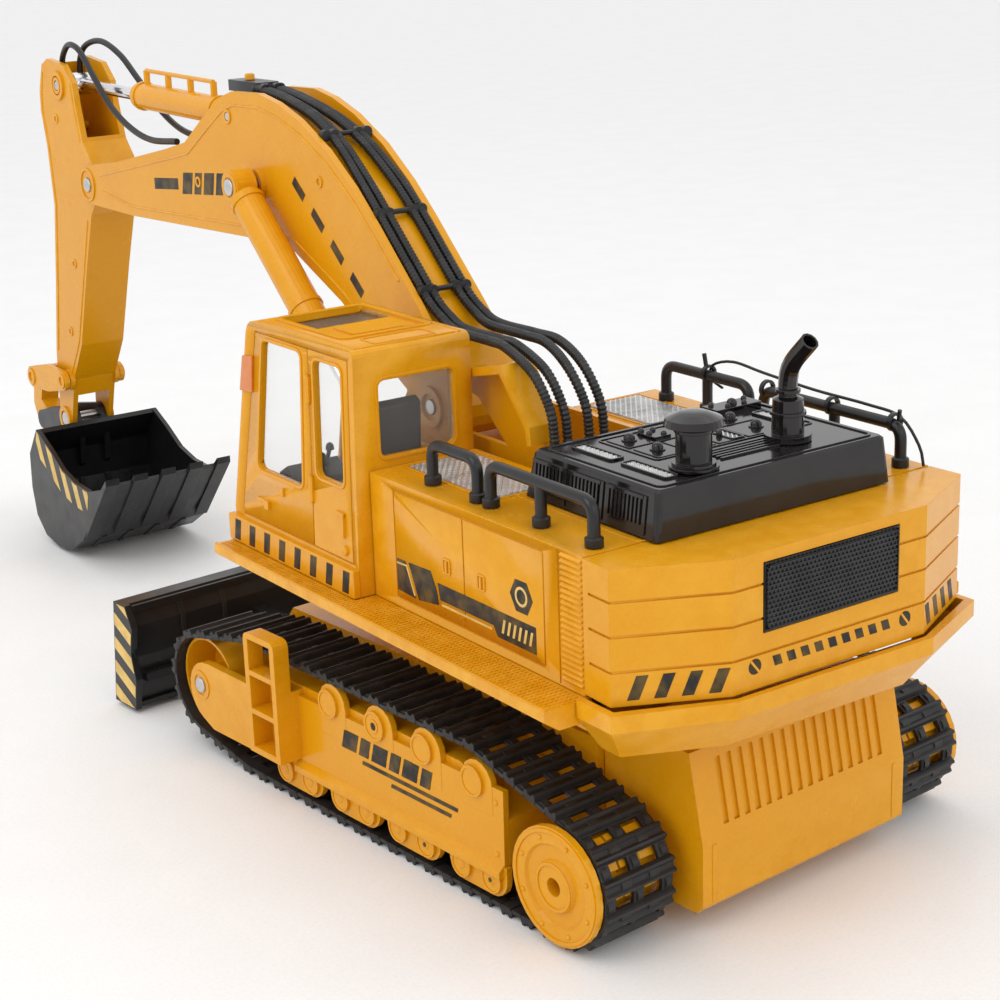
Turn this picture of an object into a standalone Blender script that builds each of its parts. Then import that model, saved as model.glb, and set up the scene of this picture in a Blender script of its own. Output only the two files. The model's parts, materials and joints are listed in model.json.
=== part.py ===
"""Toy tracked excavator, an assembly of separate pieces: run it with blender --background --python part.py

Front (boom side) is -Y, the cab side (left) is +X, up is +Z. Dimensions are in millimetres and
become metres through MM. The chassis pieces use the chassis frame (y = 0 midway between the axles,
z = 0 on the ground). Everything above the slew ring uses the house frame, which has the same origin
and is turned by HOUSE_SLEW about the slew axis.
"""

import math

import bmesh
import bpy
from mathutils import Matrix, Vector

MM = 0.001
GAP = 0.35
ORIGIN = (-2.0, 162.6, 0.0)
HOUSE_SLEW = math.radians(-4.76)

# Tracks: both wheels, the belt and the side frame, for the left side (+X); the right one is mirrored.
AXLE_Y = 117.5
AXLE_Z = 24.3
IDLER = (-111.5, 30.5)
BELT_INNER_R = 20.6
WEB = 1.6
PAD = 2.1
BELT_X = (60.0, 92.0)
BELT_PITCH = 11.2
SUPPORTS = ((66.0, 38.4), (-74.0, 38.4))
GROUND_END_Y = -78.0
WHEEL_R = 19.8
SPROCKET_TEETH = 12
DISC_R = 21.9
PLATE_X = (88.0, 90.5)
TABS = ((-16.2, 49.6), (13.9, 49.6), (42.8, 49.6), (71.8, 46.6))
ROLLER_PAIR_Y = (-41.8, -4.3, 32.8, 70.9)
LADDER_Y = (-61.0, -39.5)
LADDER_X = (93.9, 101.0)

# Slew drive: a fixed internal ring gear and a pinion on the house.
RING_TEETH = 40
PINION_TEETH = 8
GEAR_MODULE = 1.75
PINION_OFFSET = GEAR_MODULE * (RING_TEETH - PINION_TEETH) / 2
GEAR_Z = (61.8, 68.6)

# House: heights of its floors and the plan of its body.
BASE_Z = (84.6, 91.0)
WALK_Z = 96.1
WALK_X = 96.3
DECK_Z = 144.7
BODY_X = 78.9
SLOT_X = (-24.2, 31.2)
CAB_X = (31.6, 85.7)
REAR_PLAN = ((80.0, 151.7), (43.9, 169.7))
HOOD_Z = (145.1, 162.2)

# Attachment: pins in the house frame, as (y, z).
BOOM_PIN = (-35.0, 151.5)
LOW_PIN = (-72.0, 130.0)
HIGH_PIN = (-180.0, 226.0)
STICK_PIN = (-369.0, 207.0)
CYL_REAR = (-212.0, 252.0)
CYL_FRONT = (-404.0, 256.0)
BUCKET_PIN = (-438.0, 66.0)
ROCKER_PIN = (-426.0, 91.0)
LINK_PIN = (-470.0, 86.0)
BUCKET_EAR = (-484.0, 56.0)
BOOM_HALF = 16.0
STICK_HALF = 12.5
BUCKET_HALF = 37.0
RAM_X = 26.0


# ---------------------------------------------------------------- shapes


def closed_mesh(points, faces):
    """A mesh from points in millimetres, its faces turned outwards."""
    mesh = bpy.data.meshes.new("shape")
    mesh.from_pydata([Vector(p) * MM for p in points], [], faces)
    bm = bmesh.new()
    bm.from_mesh(mesh)
    bmesh.ops.recalc_face_normals(bm, faces=bm.faces)
    bm.to_mesh(mesh)
    bm.free()
    return mesh


def placed(axis, along, a, b):
    """The point at (a, b) in the plane across an axis, in X, Y, Z order."""
    return {"x": (along, a, b), "y": (a, along, b), "z": (a, b, along)}[axis]


def loft(axis, *levels):
    """A closed solid through outlines of equal length, each given as (place along the axis, outline)."""
    count = len(levels[0][1])
    points = [placed(axis, along, a, b) for along, outline in levels for a, b in outline]
    faces = [tuple(range(count)), tuple(range(len(points) - count, len(points)))]
    for ring in range(len(levels) - 1):
        low = ring * count
        for i in range(count):
            j = (i + 1) % count
            faces.append((low + i, low + j, low + count + j, low + count + i))
    return closed_mesh(points, faces)


def prism(axis, outline, start, end):
    return loft(axis, (start, outline), (end, outline))


def box(x, y, z):
    return prism("z", [(x[0], y[0]), (x[1], y[0]), (x[1], y[1]), (x[0], y[1])], *z)


def band(axis, outer, inner, start, end):
    """A prism with a hole: both outlines have the same number of points."""
    count = len(outer)
    points = [placed(axis, along, a, b) for along in (start, end) for a, b in (*outer, *inner)]
    faces = []
    for i in range(count):
        j = (i + 1) % count
        top = 2 * count
        faces.append((i, j, count + j, count + i))
        faces.append((top + i, top + j, top + count + j, top + count + i))
        faces.append((i, j, top + j, top + i))
        faces.append((count + i, count + j, top + count + j, top + count + i))
    return closed_mesh(points, faces)


def turned(axis, centre, profile, steps=24):
    """A solid of revolution: the profile is (place along the axis, radius), closed on the axis at both ends."""
    a0, b0 = centre
    rings = [[(a0 + r * math.cos(t), b0 + r * math.sin(t)) for t in turn(steps)] for _, r in profile]
    return loft(axis, *[(profile[i][0], rings[i]) for i in range(len(profile))])


def turn(steps, start=0.0):
    return [start + 2 * math.pi * i / steps for i in range(steps)]


def cylinder(axis, centre, radius, start, end, steps=20):
    return turned(axis, centre, [(start, radius), (end, radius)], steps)


def arc(centre, radius, start, end, steps=6):
    """Points on a circle from one angle to the other, in degrees."""
    angles = [math.radians(start + (end - start) * i / steps) for i in range(steps + 1)]
    return [(centre[0] + radius * math.cos(t), centre[1] + radius * math.sin(t)) for t in angles]


def rounded(*corners, steps=3):
    """An outline from corners (a, b) or (a, b, radius), with an arc where a radius is given."""
    points = []
    for i, (a, b, *radius) in enumerate(corners):
        here = Vector((a, b))
        if not radius:
            points.append((a, b))
            continue
        before = (Vector(corners[i - 1][:2]) - here).normalized()
        after = (Vector(corners[(i + 1) % len(corners)][:2]) - here).normalized()
        half = before.angle(after) / 2
        centre = here + (before + after).normalized() * radius[0] / math.sin(half)
        first = here + before * radius[0] / math.tan(half) - centre
        last = here + after * radius[0] / math.tan(half) - centre
        sweep = first.angle_signed(last)
        for k in range(steps + 1):
            spoke = first.copy()
            spoke.rotate(Matrix.Rotation(-sweep * k / steps, 2))
            points.append(tuple(centre + spoke))
    return points


def frame_box(y, z, radius):
    """A rounded rectangle outline."""
    return rounded((y[0], z[0], radius), (y[1], z[0], radius), (y[1], z[1], radius), (y[0], z[1], radius))


def mirrored(outline):
    """A right half outline, given from front to rear, with its left half added."""
    return [*outline, *[(-a, b) for a, b in reversed(outline)]]


def smooth_route(points, spacing):
    """Points about a spacing apart on one smooth curve through the given points."""
    knots = [Vector(p) for p in points]
    knots = [2 * knots[0] - knots[1], *knots, 2 * knots[-1] - knots[-2]]
    route = []
    for p0, p1, p2, p3 in zip(knots, knots[1:], knots[2:], knots[3:]):
        steps = max(1, round((p2 - p1).length / spacing))
        for i in range(steps):
            t = i / steps
            curve = 2 * p1 + (p2 - p0) * t + (2 * p0 - 5 * p1 + 4 * p2 - p3) * t**2
            route.append((curve + (3 * p1 - p0 - 3 * p2 + p3) * t**3) / 2)
    return [*route, knots[-2]]


def tube(points, radius, sides=8):
    """A round bar swept along points, with flat ends."""
    path = [Vector(p) for p in points]
    heading = (path[1] - path[0]).normalized()
    side = heading.orthogonal().normalized()
    rings = []
    for i, point in enumerate(path):
        ahead = (path[min(i + 1, len(path) - 1)] - path[max(i - 1, 0)]).normalized()
        side.rotate(heading.rotation_difference(ahead))
        heading = ahead
        other = heading.cross(side)
        rings.append([point + radius * (math.cos(t) * side + math.sin(t) * other) for t in turn(sides)])
    vertices = [p for ring in rings for p in ring]
    last = len(vertices) - sides
    faces = [tuple(range(sides)), tuple(range(last, len(vertices)))]
    for ring in range(len(rings) - 1):
        low = ring * sides
        for i in range(sides):
            j = (i + 1) % sides
            faces.append((low + i, low + j, low + sides + j, low + sides + i))
    return closed_mesh(vertices, faces)


def bent_bar(corners, radius, bend, sides=10):
    """A tube along straight runs whose corners are rounded with a bend radius."""
    path = [Vector(corners[0])]
    for before, here, after in zip(corners, corners[1:], corners[2:]):
        here = Vector(here)
        back = (Vector(before) - here).normalized() * bend
        on = (Vector(after) - here).normalized() * bend
        for i in range(6):
            t = i / 5
            path.append(here + back * (1 - t) ** 2 + on * t**2)
    return tube([*path, Vector(corners[-1])], radius, sides)


def carved(shapes, cuts=()):
    """One mesh: the union of the shapes less the cuts."""
    helpers = [bpy.data.objects.new("helper", mesh) for mesh in (*shapes, *cuts)]
    for index, helper in enumerate(helpers):
        bpy.context.collection.objects.link(helper)
        if index:
            step = helpers[0].modifiers.new("step", "BOOLEAN")
            step.object = helper
            step.operation = "UNION" if index < len(shapes) else "DIFFERENCE"
    graph = bpy.context.evaluated_depsgraph_get()
    result = bpy.data.meshes.new_from_object(helpers[0].evaluated_get(graph))
    for helper in helpers:
        bpy.data.objects.remove(helper)
    return result


def flipped(mesh):
    """The mesh mirrored to the other side, x to -x."""
    copy = mesh.copy()
    copy.transform(Matrix.Scale(-1, 4, (1, 0, 0)))
    copy.flip_normals()
    return copy


def directed(start, end, along, across):
    """The (y, z) point at a distance along and across the line from one pin to another."""
    line = (Vector(end) - Vector(start)).normalized()
    return tuple(Vector(start) + line * along + Vector((-line.y, line.x)) * across)


# ---------------------------------------------------------------- bodies and finishes

FINISHES = {
    "yellow": ((0.86, 0.42, 0.02), 0.38, 0.0),
    "black": ((0.012, 0.012, 0.013), 0.5, 0.0),
    "gloss_black": ((0.008, 0.008, 0.009), 0.12, 0.0),
    "rubber": ((0.015, 0.015, 0.016), 0.75, 0.0),
    "steel": ((0.6, 0.6, 0.61), 0.3, 1.0),
    "clear": ((0.85, 0.9, 0.92), 0.05, 0.0),
    "green": ((0.02, 0.2, 0.06), 0.5, 0.0),
    "blue": ((0.03, 0.1, 0.35), 0.45, 0.0),
}


def make_finishes():
    for name, (colour, roughness, metallic) in FINISHES.items():
        material = bpy.data.materials.new(name)
        material.use_nodes = True
        shader = material.node_tree.nodes["Principled BSDF"]
        shader.inputs["Base Color"].default_value = (*colour, 1.0)
        shader.inputs["Roughness"].default_value = roughness
        shader.inputs["Metallic"].default_value = metallic


BODY_PIVOTS = {}


def make_body(name, parent, pivot=(0.0, 0.0, 0.0)):
    """An empty on the body's joint axis; the pivot is in millimetres in the frame of its family."""
    empty = bpy.data.objects.new(f"axis_{name}", None)
    bpy.context.collection.objects.link(empty)
    BODY_PIVOTS[name] = Vector(pivot)
    if parent:
        empty.parent = bpy.data.objects[f"axis_{parent}"]
        empty.location = (BODY_PIVOTS[name] - BODY_PIVOTS[parent]) * MM
    else:
        empty.location = Vector(ORIGIN) * MM
    if name == "house":
        empty.rotation_euler.z = HOUSE_SLEW


def attach(obj, body, finish):
    obj.data.materials.clear()
    obj.data.materials.append(bpy.data.materials[finish])
    bpy.context.collection.objects.link(obj)
    obj.parent = bpy.data.objects[f"axis_{body}"]


def add(name, body, finish, mesh):
    """A finished piece on a body, with its mesh moved so that its origin is on the body's axis."""
    mesh.transform(Matrix.Translation(-BODY_PIVOTS[body] * MM))
    mesh.name = name
    mesh.shade_smooth()
    mesh.set_sharp_from_angle(angle=math.radians(32))
    attach(bpy.data.objects.new(name, mesh), body, finish)


def add_hose(name, body, finish, points, radius, spacing):
    """A flexible line that the object holds: a curve with a bevel and filled caps."""
    curve = bpy.data.curves.new(name, "CURVE")
    curve.dimensions = "3D"
    curve.bevel_depth = radius * MM
    curve.bevel_resolution = 2
    curve.use_fill_caps = True
    spline = curve.splines.new("POLY")
    route = smooth_route(points, spacing)
    spline.points.add(len(route) - 1)
    for target, point in zip(spline.points, route):
        target.co = (*((point - BODY_PIVOTS[body]) * MM), 1.0)
    attach(bpy.data.objects.new(name, curve), body, finish)


def at_pin(pin):
    return (0.0, pin[0], pin[1])


# ---------------------------------------------------------------- tracks


def belt_pieces():
    """The belt's inner line as arcs round its wheels and supports, each followed by a straight run."""
    centres = [Vector(p) for p in ((AXLE_Y, AXLE_Z), *SUPPORTS, IDLER, (GROUND_END_Y, AXLE_Z))]
    runs = [ahead - here for here, ahead in zip(centres, (*centres[1:], centres[0]))]
    normals = [math.atan2(run.y, run.x) - math.pi / 2 for run in runs]
    pieces = []
    for i, centre in enumerate(centres):
        sweep = (normals[i] - normals[i - 1]) % (2 * math.pi)
        pieces.append((centre, BELT_INNER_R, normals[i - 1], sweep, runs[i].length))
    return pieces


def belt_point(pieces, distance, height):
    """The (y, z) point a distance along the belt's inner line and a height outside it."""
    for centre, radius, start, sweep, run in pieces:
        if distance <= radius * sweep:
            angle = start + distance / radius
            return tuple(centre + (radius + height) * Vector((math.cos(angle), math.sin(angle))))
        distance -= radius * sweep
        normal = Vector((math.cos(start + sweep), math.sin(start + sweep)))
        if distance <= run:
            along = Vector((-normal.y, normal.x))
            return tuple(centre + normal * (radius + height) + along * distance)
        distance -= run
    return belt_point(pieces, distance, height)


def belt():
    pieces = belt_pieces()
    length = sum(radius * sweep + run for _, radius, _, sweep, run in pieces)
    pads = round(length / BELT_PITCH)
    outer = []
    inner = []
    for pad in range(pads):
        for share, height in ((0.0, WEB), (0.1, WEB + PAD), (0.7, WEB + PAD), (0.8, WEB)):
            distance = length * (pad + share) / pads
            outer.append(belt_point(pieces, distance, height))
            inner.append(belt_point(pieces, distance, 0.0))
    return band("x", outer, inner, *BELT_X)


def sprocket():
    axle = (AXLE_Y, AXLE_Z)
    tooth_step = 360 / SPROCKET_TEETH
    teeth = []
    for tooth in range(SPROCKET_TEETH):
        for share, radius in ((-0.3, 16.5), (-0.12, WHEEL_R), (0.12, WHEEL_R), (0.3, 16.5)):
            angle = math.radians(tooth_step * (tooth + share))
            teeth.append((AXLE_Y + radius * math.cos(angle), AXLE_Z + radius * math.sin(angle)))
    disc = [(92.4, DISC_R), (95.0, DISC_R), (95.0, 15.6), (93.9, 14.8), (93.9, 9.8), (95.3, 9.0), (95.3, 1.0)]
    shapes = [
        turned("x", axle, [(62.0, 16.9), (92.5, 16.9)], 32),
        prism("x", teeth, 71.5, 80.5),
        turned("x", axle, disc, 32),
        cylinder("x", axle, 3.0, 49.2, 63.0),
    ]
    return carved(shapes, [cylinder("x", axle, 3.4, 88.0, 99.0, 16)])


def idler():
    wheel = [(62.0, 2.0), (62.0, WHEEL_R), (87.5, WHEEL_R), (87.5, 18.6), (74.0, 17.2), (74.0, 7.0)]
    wheel += [(86.6, 6.4), (86.6, 2.0)]
    return carved([turned("x", IDLER, wheel, 36)], [cylinder("x", IDLER, 3.4, 66.0, 99.0, 16)])


def side_plate():
    """The outer plate with its four belt tabs, its four roller pairs and the guard arm round the idler."""
    low, high = PLATE_X
    shapes = [prism("x", [(-62.0, 16.0), (85.8, 16.0), (86.3, 47.6), (-62.0, 46.4)], low, high)]
    for y, z in TABS:
        tab = [(y - 8.6, 36.0), *arc((y, z), 8.6, 180, 0, 8), (y + 8.6, 36.0)]
        shapes.append(prism("x", tab, low + 0.1, high + 0.1))
        shapes.append(cylinder("x", (y - 2.0, z), 6.0, low + 0.2, high + 1.0, 14))
    shapes.append(prism("y", [(low + 0.2, 13.0), (93.0, 14.0), (93.0, 16.6), (low + 0.2, 21.0)], -42.0, 85.6))
    for y in ROLLER_PAIR_Y:
        lobes = arc((y - 8.6, 12.8), 7.8, 180, 270, 5) + arc((y + 8.6, 12.8), 7.8, 270, 360, 5)
        shapes.append(prism("x", [*lobes, (y + 16.4, 18.0), (y - 16.4, 18.0)], low + 0.3, high + 0.3))
        for side in (-1, 1):
            shapes.append(cylinder("x", (y + side * 8.6, 11.6), 5.4, low + 0.4, high + 1.3, 14))
    arm = [(-61.5, 41.4), (-106.0, 41.6), *arc((-107.0, 28.0), 13.4, 85, 250, 10), (-104.0, 12.2), (-61.5, 12.6)]
    shapes.append(prism("x", arm, low + 0.15, high + 1.5))
    return shapes


def ladder():
    """The ladder outside the belt, the block that carries it on the plate and the cuts between its steps."""
    (y0, y1), (x0, x1) = LADDER_Y, LADDER_X
    outline = rounded((y0, 19.5), (y1, 19.5), (y1, 71.0, 3.0), (y0, 71.0, 3.0))
    shapes = [prism("x", outline, x0, x1), box((PLATE_X[0] + 0.25, x0 + 1.0), (y0, y1), (19.6, 49.0))]
    cuts = [box((PLATE_X[1] + 1.5, 110.0), (y0 + 3.0, y1 - 3.0), z) for z in ((22.2, 36.6), (38.8, 53.0))]
    cuts.append(box((x0 - 1.0, 110.0), (y0 + 3.0, y1 - 3.0), (55.2, 68.4)))
    return shapes, cuts


def track_frame():
    core = [(-76.0, 16.0), (-80.0, 40.0), (-62.0, 50.0), (60.0, 50.0), (86.0, 36.0), (86.0, 16.0)]
    pocket = [(-73.0, 19.0), (-76.0, 38.0), (-60.0, 47.0), (58.0, 47.0), (83.0, 34.0), (83.0, 19.0)]
    steps, openings = ladder()
    shapes = [
        prism("x", core, 56.4, 88.2),
        *side_plate(),
        *steps,
        cylinder("x", IDLER, 3.0, 68.0, 89.0, 14),
    ]
    return carved(shapes, [prism("x", pocket, 50.0, 85.5), *openings])


def make_tracks():
    frame = track_frame()
    for side, finish in (("left", lambda mesh: mesh.copy()), ("right", flipped)):
        add(f"track_frame_{side}", "chassis", "yellow", finish(frame))
        add(f"track_belt_{side}", "chassis", "rubber", finish(belt()))
        add(f"drive_sprocket_{side}", f"sprocket_{side}", "yellow", finish(sprocket()))
        add(f"idler_wheel_{side}", f"idler_{side}", "yellow", finish(idler()))


# ---------------------------------------------------------------- chassis


def hull():
    side = [(-104.0, 22.0), (-98.0, 14.0), (98.0, 14.0), (98.0, 61.0), (-92.0, 61.0), (-104.0, 46.0)]
    inside = [(-101.0, 24.0), (-96.0, 16.5), (95.0, 16.5), (95.0, 58.5), (-91.0, 58.5), (-101.0, 45.0)]
    shapes = [
        prism("x", side, -56.0, 56.0),
        cylinder("z", (0.0, 0.0), 52.0, 59.0, 69.0, 40),
    ]
    for x in (-33.0, 29.0):
        lug = [*arc((-113.0, 27.0), 6.0, 90, 270, 6), (-100.0, 21.0), (-100.0, 33.0)]
        shapes.append(prism("x", lug, x, x + 4.0))
    shapes.append(cylinder("x", (-113.0, 27.0), 2.6, -36.0, 36.0, 12))
    cuts = [
        prism("x", inside, -53.5, 53.5),
        cylinder("z", (0.0, 0.0), 48.0, 61.0, 72.0, 40),
        box((-36.3, 36.3), (-80.3, 30.3), (10.0, 20.0)),
        box((-4.0, 4.0), (50.0, 68.0), (10.0, 20.0)),
    ]
    post = cylinder("z", (0.0, 0.0), 14.0, 58.0, 80.0, 24)
    return carved([carved(shapes, cuts), post])


def rear_housing():
    side = [(98.4, 9.0), (144.0, 9.0), (147.0, 12.0), (147.0, 35.0), (140.5, 68.0), (98.4, 68.0)]
    inside = [(90.0, 11.5), (144.5, 11.5), (144.5, 35.0), (138.4, 65.5), (90.0, 65.5)]
    cuts = [prism("x", inside, -50.6, 50.6), cylinder("x", (AXLE_Y, AXLE_Z), 3.6, -60.0, 60.0, 16)]
    slope = Vector((-6.5, 33.0)).normalized()
    outward = Vector((slope.y, -slope.x))
    for slot in range(16):
        x = -40.5 + slot * 5.4
        corner = Vector((147.0, 35.0)) + slope * 5.0
        groove = [corner + outward, corner - outward, corner - outward + slope * 24, corner + outward + slope * 24]
        cuts.append(prism("x", [tuple(p) for p in groove], x - 1.3, x + 1.3))
    return carved([prism("x", side, -53.1, 53.1)], cuts)


def drive_unit():
    gearbox = box((20.0, 48.8), (103.0, 138.0), (14.0, 38.0))
    motor = cylinder("x", (122.0, 50.0), 9.5, 4.0, 34.0, 16)
    neck = box((24.0, 33.0), (116.0, 128.0), (36.0, 46.0))
    return carved([gearbox, motor, neck])


def gear_outline(teeth, root, tip, phase):
    """A gear's outline, its first tooth at the phase angle, with slim teeth for a loose mesh."""
    step = 2 * math.pi / teeth
    points = []
    for tooth in range(teeth):
        for share, radius in ((-0.26, root), (-0.12, tip), (0.12, tip), (0.26, root)):
            angle = phase + step * (tooth + share)
            points.append((radius * math.cos(angle), radius * math.sin(angle)))
    return points


def slew_ring():
    pitch = GEAR_MODULE * RING_TEETH / 2
    phase = math.pi / 2 + HOUSE_SLEW + math.pi / RING_TEETH
    inner = gear_outline(RING_TEETH, pitch + 1.9, pitch - 0.9, phase)
    ring = cylinder("z", (0.0, 0.0), 47.4, *GEAR_Z, 40)
    return carved([ring], [prism("z", inner, GEAR_Z[0] - 1.0, GEAR_Z[1] + 1.0)])


def slew_pinion():
    pitch = GEAR_MODULE * PINION_TEETH / 2
    teeth = gear_outline(PINION_TEETH, pitch - 1.7, pitch + 0.9, math.pi / 2)
    teeth = [(a, b + PINION_OFFSET) for a, b in teeth]
    shaft = cylinder("z", (0.0, PINION_OFFSET), 2.0, GEAR_Z[0] + 1.0, 90.6, 12)
    return carved([prism("z", teeth, GEAR_Z[0] + 0.6, GEAR_Z[1]), shaft])


def blade():
    front = [(-186.0, 2.0), (-178.0, 13.0), (-174.5, 27.0), (-175.0, 40.0), (-180.0, 51.0)]
    back = [(-172.0, 51.0), (-168.0, 41.0), (-167.5, 27.0), (-169.0, 15.0), (-171.0, 2.0)]
    end = [(-186.0, 2.0), (-180.0, 51.0), (-170.0, 51.0), (-165.5, 41.0), (-168.0, 29.0), (-165.5, 17.0), (-168.0, 2.0)]
    shapes = [prism("x", front + back, -92.0, 92.0), prism("x", end, -93.5, -90.5), prism("x", end, 90.5, 93.5)]
    shapes.append(box((-88.0, 88.0), (-169.5, -165.0), (15.0, 19.0)))
    for x in (-28.0, 22.0):
        arm = [(-170.0, 17.0), (-113.0, 20.4), *arc((-113.0, 27.0), 6.6, 280, 440, 6), (-113.0, 33.6), (-170.0, 34.0)]
        shapes.append(prism("x", arm, x, x + 6.0))
    return carved(shapes, [cylinder("x", (-113.0, 27.0), 3.0, -40.0, 40.0, 14)])


def make_chassis():
    add("hull", "chassis", "yellow", hull())
    add("rear_housing", "chassis", "yellow", rear_housing())
    add("slew_ring", "chassis", "black", slew_ring())
    add("drive_unit_left", "chassis", "black", drive_unit())
    add("drive_unit_right", "chassis", "black", flipped(drive_unit()))
    add("battery_pack", "chassis", "blue", prism("y", frame_box((-30.0, 30.0), (17.0, 40.0), 4.0), -72.0, 22.0))
    add("battery_door", "chassis", "yellow", box((-36.0, 36.0), (-80.0, 30.0), (14.0, 16.3)))
    knob = box((-3.4, 3.4), (54.0, 60.0), (12.6, 17.4))
    add("switch_slider", "power_switch", "black", carved([knob, box((-8.0, 8.0), (52.0, 62.0), (16.9, 18.4))]))
    add("dozer_blade", "blade", "black", blade())


# ---------------------------------------------------------------- house


def house_base():
    strip = [(77.0, 88.0), (90.5, 88.0), (WALK_X, 92.0), (WALK_X, WALK_Z), (77.0, WALK_Z)]
    shapes = [
        box((-79.0, 79.0), (-88.0, 138.0), BASE_Z),
        prism("y", strip, -90.0, 138.0),
        prism("y", [(-x, z) for x, z in strip], -90.0, 138.0),
        cylinder("z", (0.0, 0.0), 46.0, 70.6, 86.0, 36),
        cylinder("z", (0.0, 0.0), 19.0, 62.4, 72.0, 24),
    ]
    cuts = [
        cylinder("z", (0.0, 0.0), 14.6, 55.0, 81.0, 24),
        cylinder("z", (0.0, PINION_OFFSET), 2.6, 60.0, 95.0, 12),
    ]
    return carved(shapes, cuts)


def body_plan(inset):
    """The body's plan with its walls moved in, open in the middle of its front for the boom."""
    side = BODY_X - inset
    right, left = SLOT_X[0] - inset, SLOT_X[1] + inset
    rear = 137.2 - inset
    return [
        (side, rear),
        (side, 7.8 + inset),
        (left, 7.8 + inset),
        (left, 44.4 + inset),
        (right, 44.4 + inset),
        (right, -18.0 + inset),
        (-side, -18.0 + inset),
        (-side, rear),
    ]


def house_shell():
    outer = prism("z", body_plan(0.0), WALK_Z + GAP, DECK_Z)
    step = box((-BODY_X, SLOT_X[0]), (-87.0, -17.0), (WALK_Z + GAP, 119.0))
    cuts = [
        prism("z", body_plan(2.0), 90.0, DECK_Z - 2.0),
        box((-BODY_X + 2.0, SLOT_X[0] - 2.0), (-85.0, -10.0), (90.0, 117.0)),
        box((35.7, 64.3), (11.7, 66.3), (DECK_Z - 0.9, DECK_Z + 1.0)),
        box((-66.3, -39.7), (-14.3, 34.3), (DECK_Z - 0.9, DECK_Z + 1.0)),
    ]
    return carved([outer, step], cuts)


def counterweight_plan(offset):
    (x1, y1), (x2, y2) = REAR_PLAN
    return mirrored([(79.4 + offset, 137.6), (x1 + offset, y1), (x2 + offset * 0.6, y2 + offset)])


def counterweight():
    outer = prism("z", counterweight_plan(0.0), 97.6, 144.4)
    cuts = [
        prism("z", [(a, b - 1.0) for a, b in counterweight_plan(-2.2)], 99.8, 142.2),
        box((-30.9, 30.9), (168.5, 175.0), (116.2, 140.6)),
    ]
    for z in (109.0, 121.0, 132.8):
        groove = prism("z", [(a * 1.2, b * 1.02) for a, b in counterweight_plan(4.0)], z, z + 0.9)
        cuts.append(carved([groove], [prism("z", counterweight_plan(-0.8), z - 1.0, z + 2.0)]))
    return carved([outer], cuts)


def tray_plan(x0, x1, y1, x2, y2):
    return mirrored([(x0, 138.5), (x1, y1), (x2, y2)])


def rear_tray():
    lip = tray_plan(83.8, 83.8, 156.8, 45.0, 173.4)
    foot = tray_plan(74.0, 74.0, 148.5, 41.0, 163.5)
    upper = prism("z", tray_plan(76.5, 76.5, 150.0, 41.0, 166.0), 95.0, 99.0)
    solid = loft("z", (77.5, foot), (91.0, lip), (97.2, lip))
    hollow = [(a * 0.965, b - 2.4) for a, b in lip]
    low = [(a * 0.96, b - 2.4) for a, b in foot]
    return carved([solid], [loft("z", (79.6, low), (91.0, hollow), (100.0, hollow)), upper])


def boom_mount():
    """Two walls on a floor: the left one, beside the cab, is higher and has a rim round it."""
    front = [(-86.0, 91.35), (-86.0, 132.0), (-78.0, 139.0), (-62.0, 140.0), (-50.0, 160.0)]
    right = [*front, *arc(BOOM_PIN, 14.5, 120, 45, 4), (-16.0, 150.0), (43.6, 150.0), (43.6, 91.35)]
    back = [(-44.0, 167.0), (-30.0, 168.5), (-2.0, 174.0), (25.3, 180.2), (42.6, 159.7), (43.6, 153.0)]
    left = [*front, *back, (43.6, 91.35)]
    rim = [*back, (40.6, 152.0), (39.8, 158.6), (24.2, 176.6), (-2.0, 170.8), (-30.0, 165.4), (-44.0, 163.8)]
    shapes = [
        prism("x", left, 20.0, 22.6),
        prism("x", right, -22.6, -20.0),
        prism("x", rim, 22.4, 30.6),
        box((-21.0, 21.0), (-86.0, 8.0), (91.35, 94.0)),
        box((-21.0, 21.0), (40.6, 43.6), (91.35, 148.0)),
        box((-21.0, 21.0), (-86.0, -83.5), (91.35, 118.0)),
    ]
    cuts = [
        cylinder("x", BOOM_PIN, 3.3, -40.0, 40.0, 14),
        cylinder("x", LOW_PIN, 2.5, -40.0, 40.0, 14),
        prism("x", [(-14.0, 146.0), (-14.0, 164.0), (-2.0, 162.0), (17.0, 146.0)], 0.0, 40.0),
    ]
    return carved(shapes, cuts)


def cab_side(inset):
    """The cab's side view with its walls moved in."""
    return rounded(
        (-88.0 + inset, 96.5 + inset),
        (-90.0 + inset, 110.0, 3.0),
        (-73.0 + inset, 190.7 - inset, 7.0),
        (7.2 - inset, 190.7 - inset, 3.0),
        (7.2 - inset, 96.5 + inset),
    )


def leaned(mesh, lean=2.5):
    """Leans the outer side wall of a cab piece in towards the roof."""
    middle = (CAB_X[0] + CAB_X[1]) / 2
    for vertex in mesh.vertices:
        if vertex.co.x / MM > middle:
            vertex.co.x -= lean * (vertex.co.z - 0.0965) / 0.094 * MM
    return mesh


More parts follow.
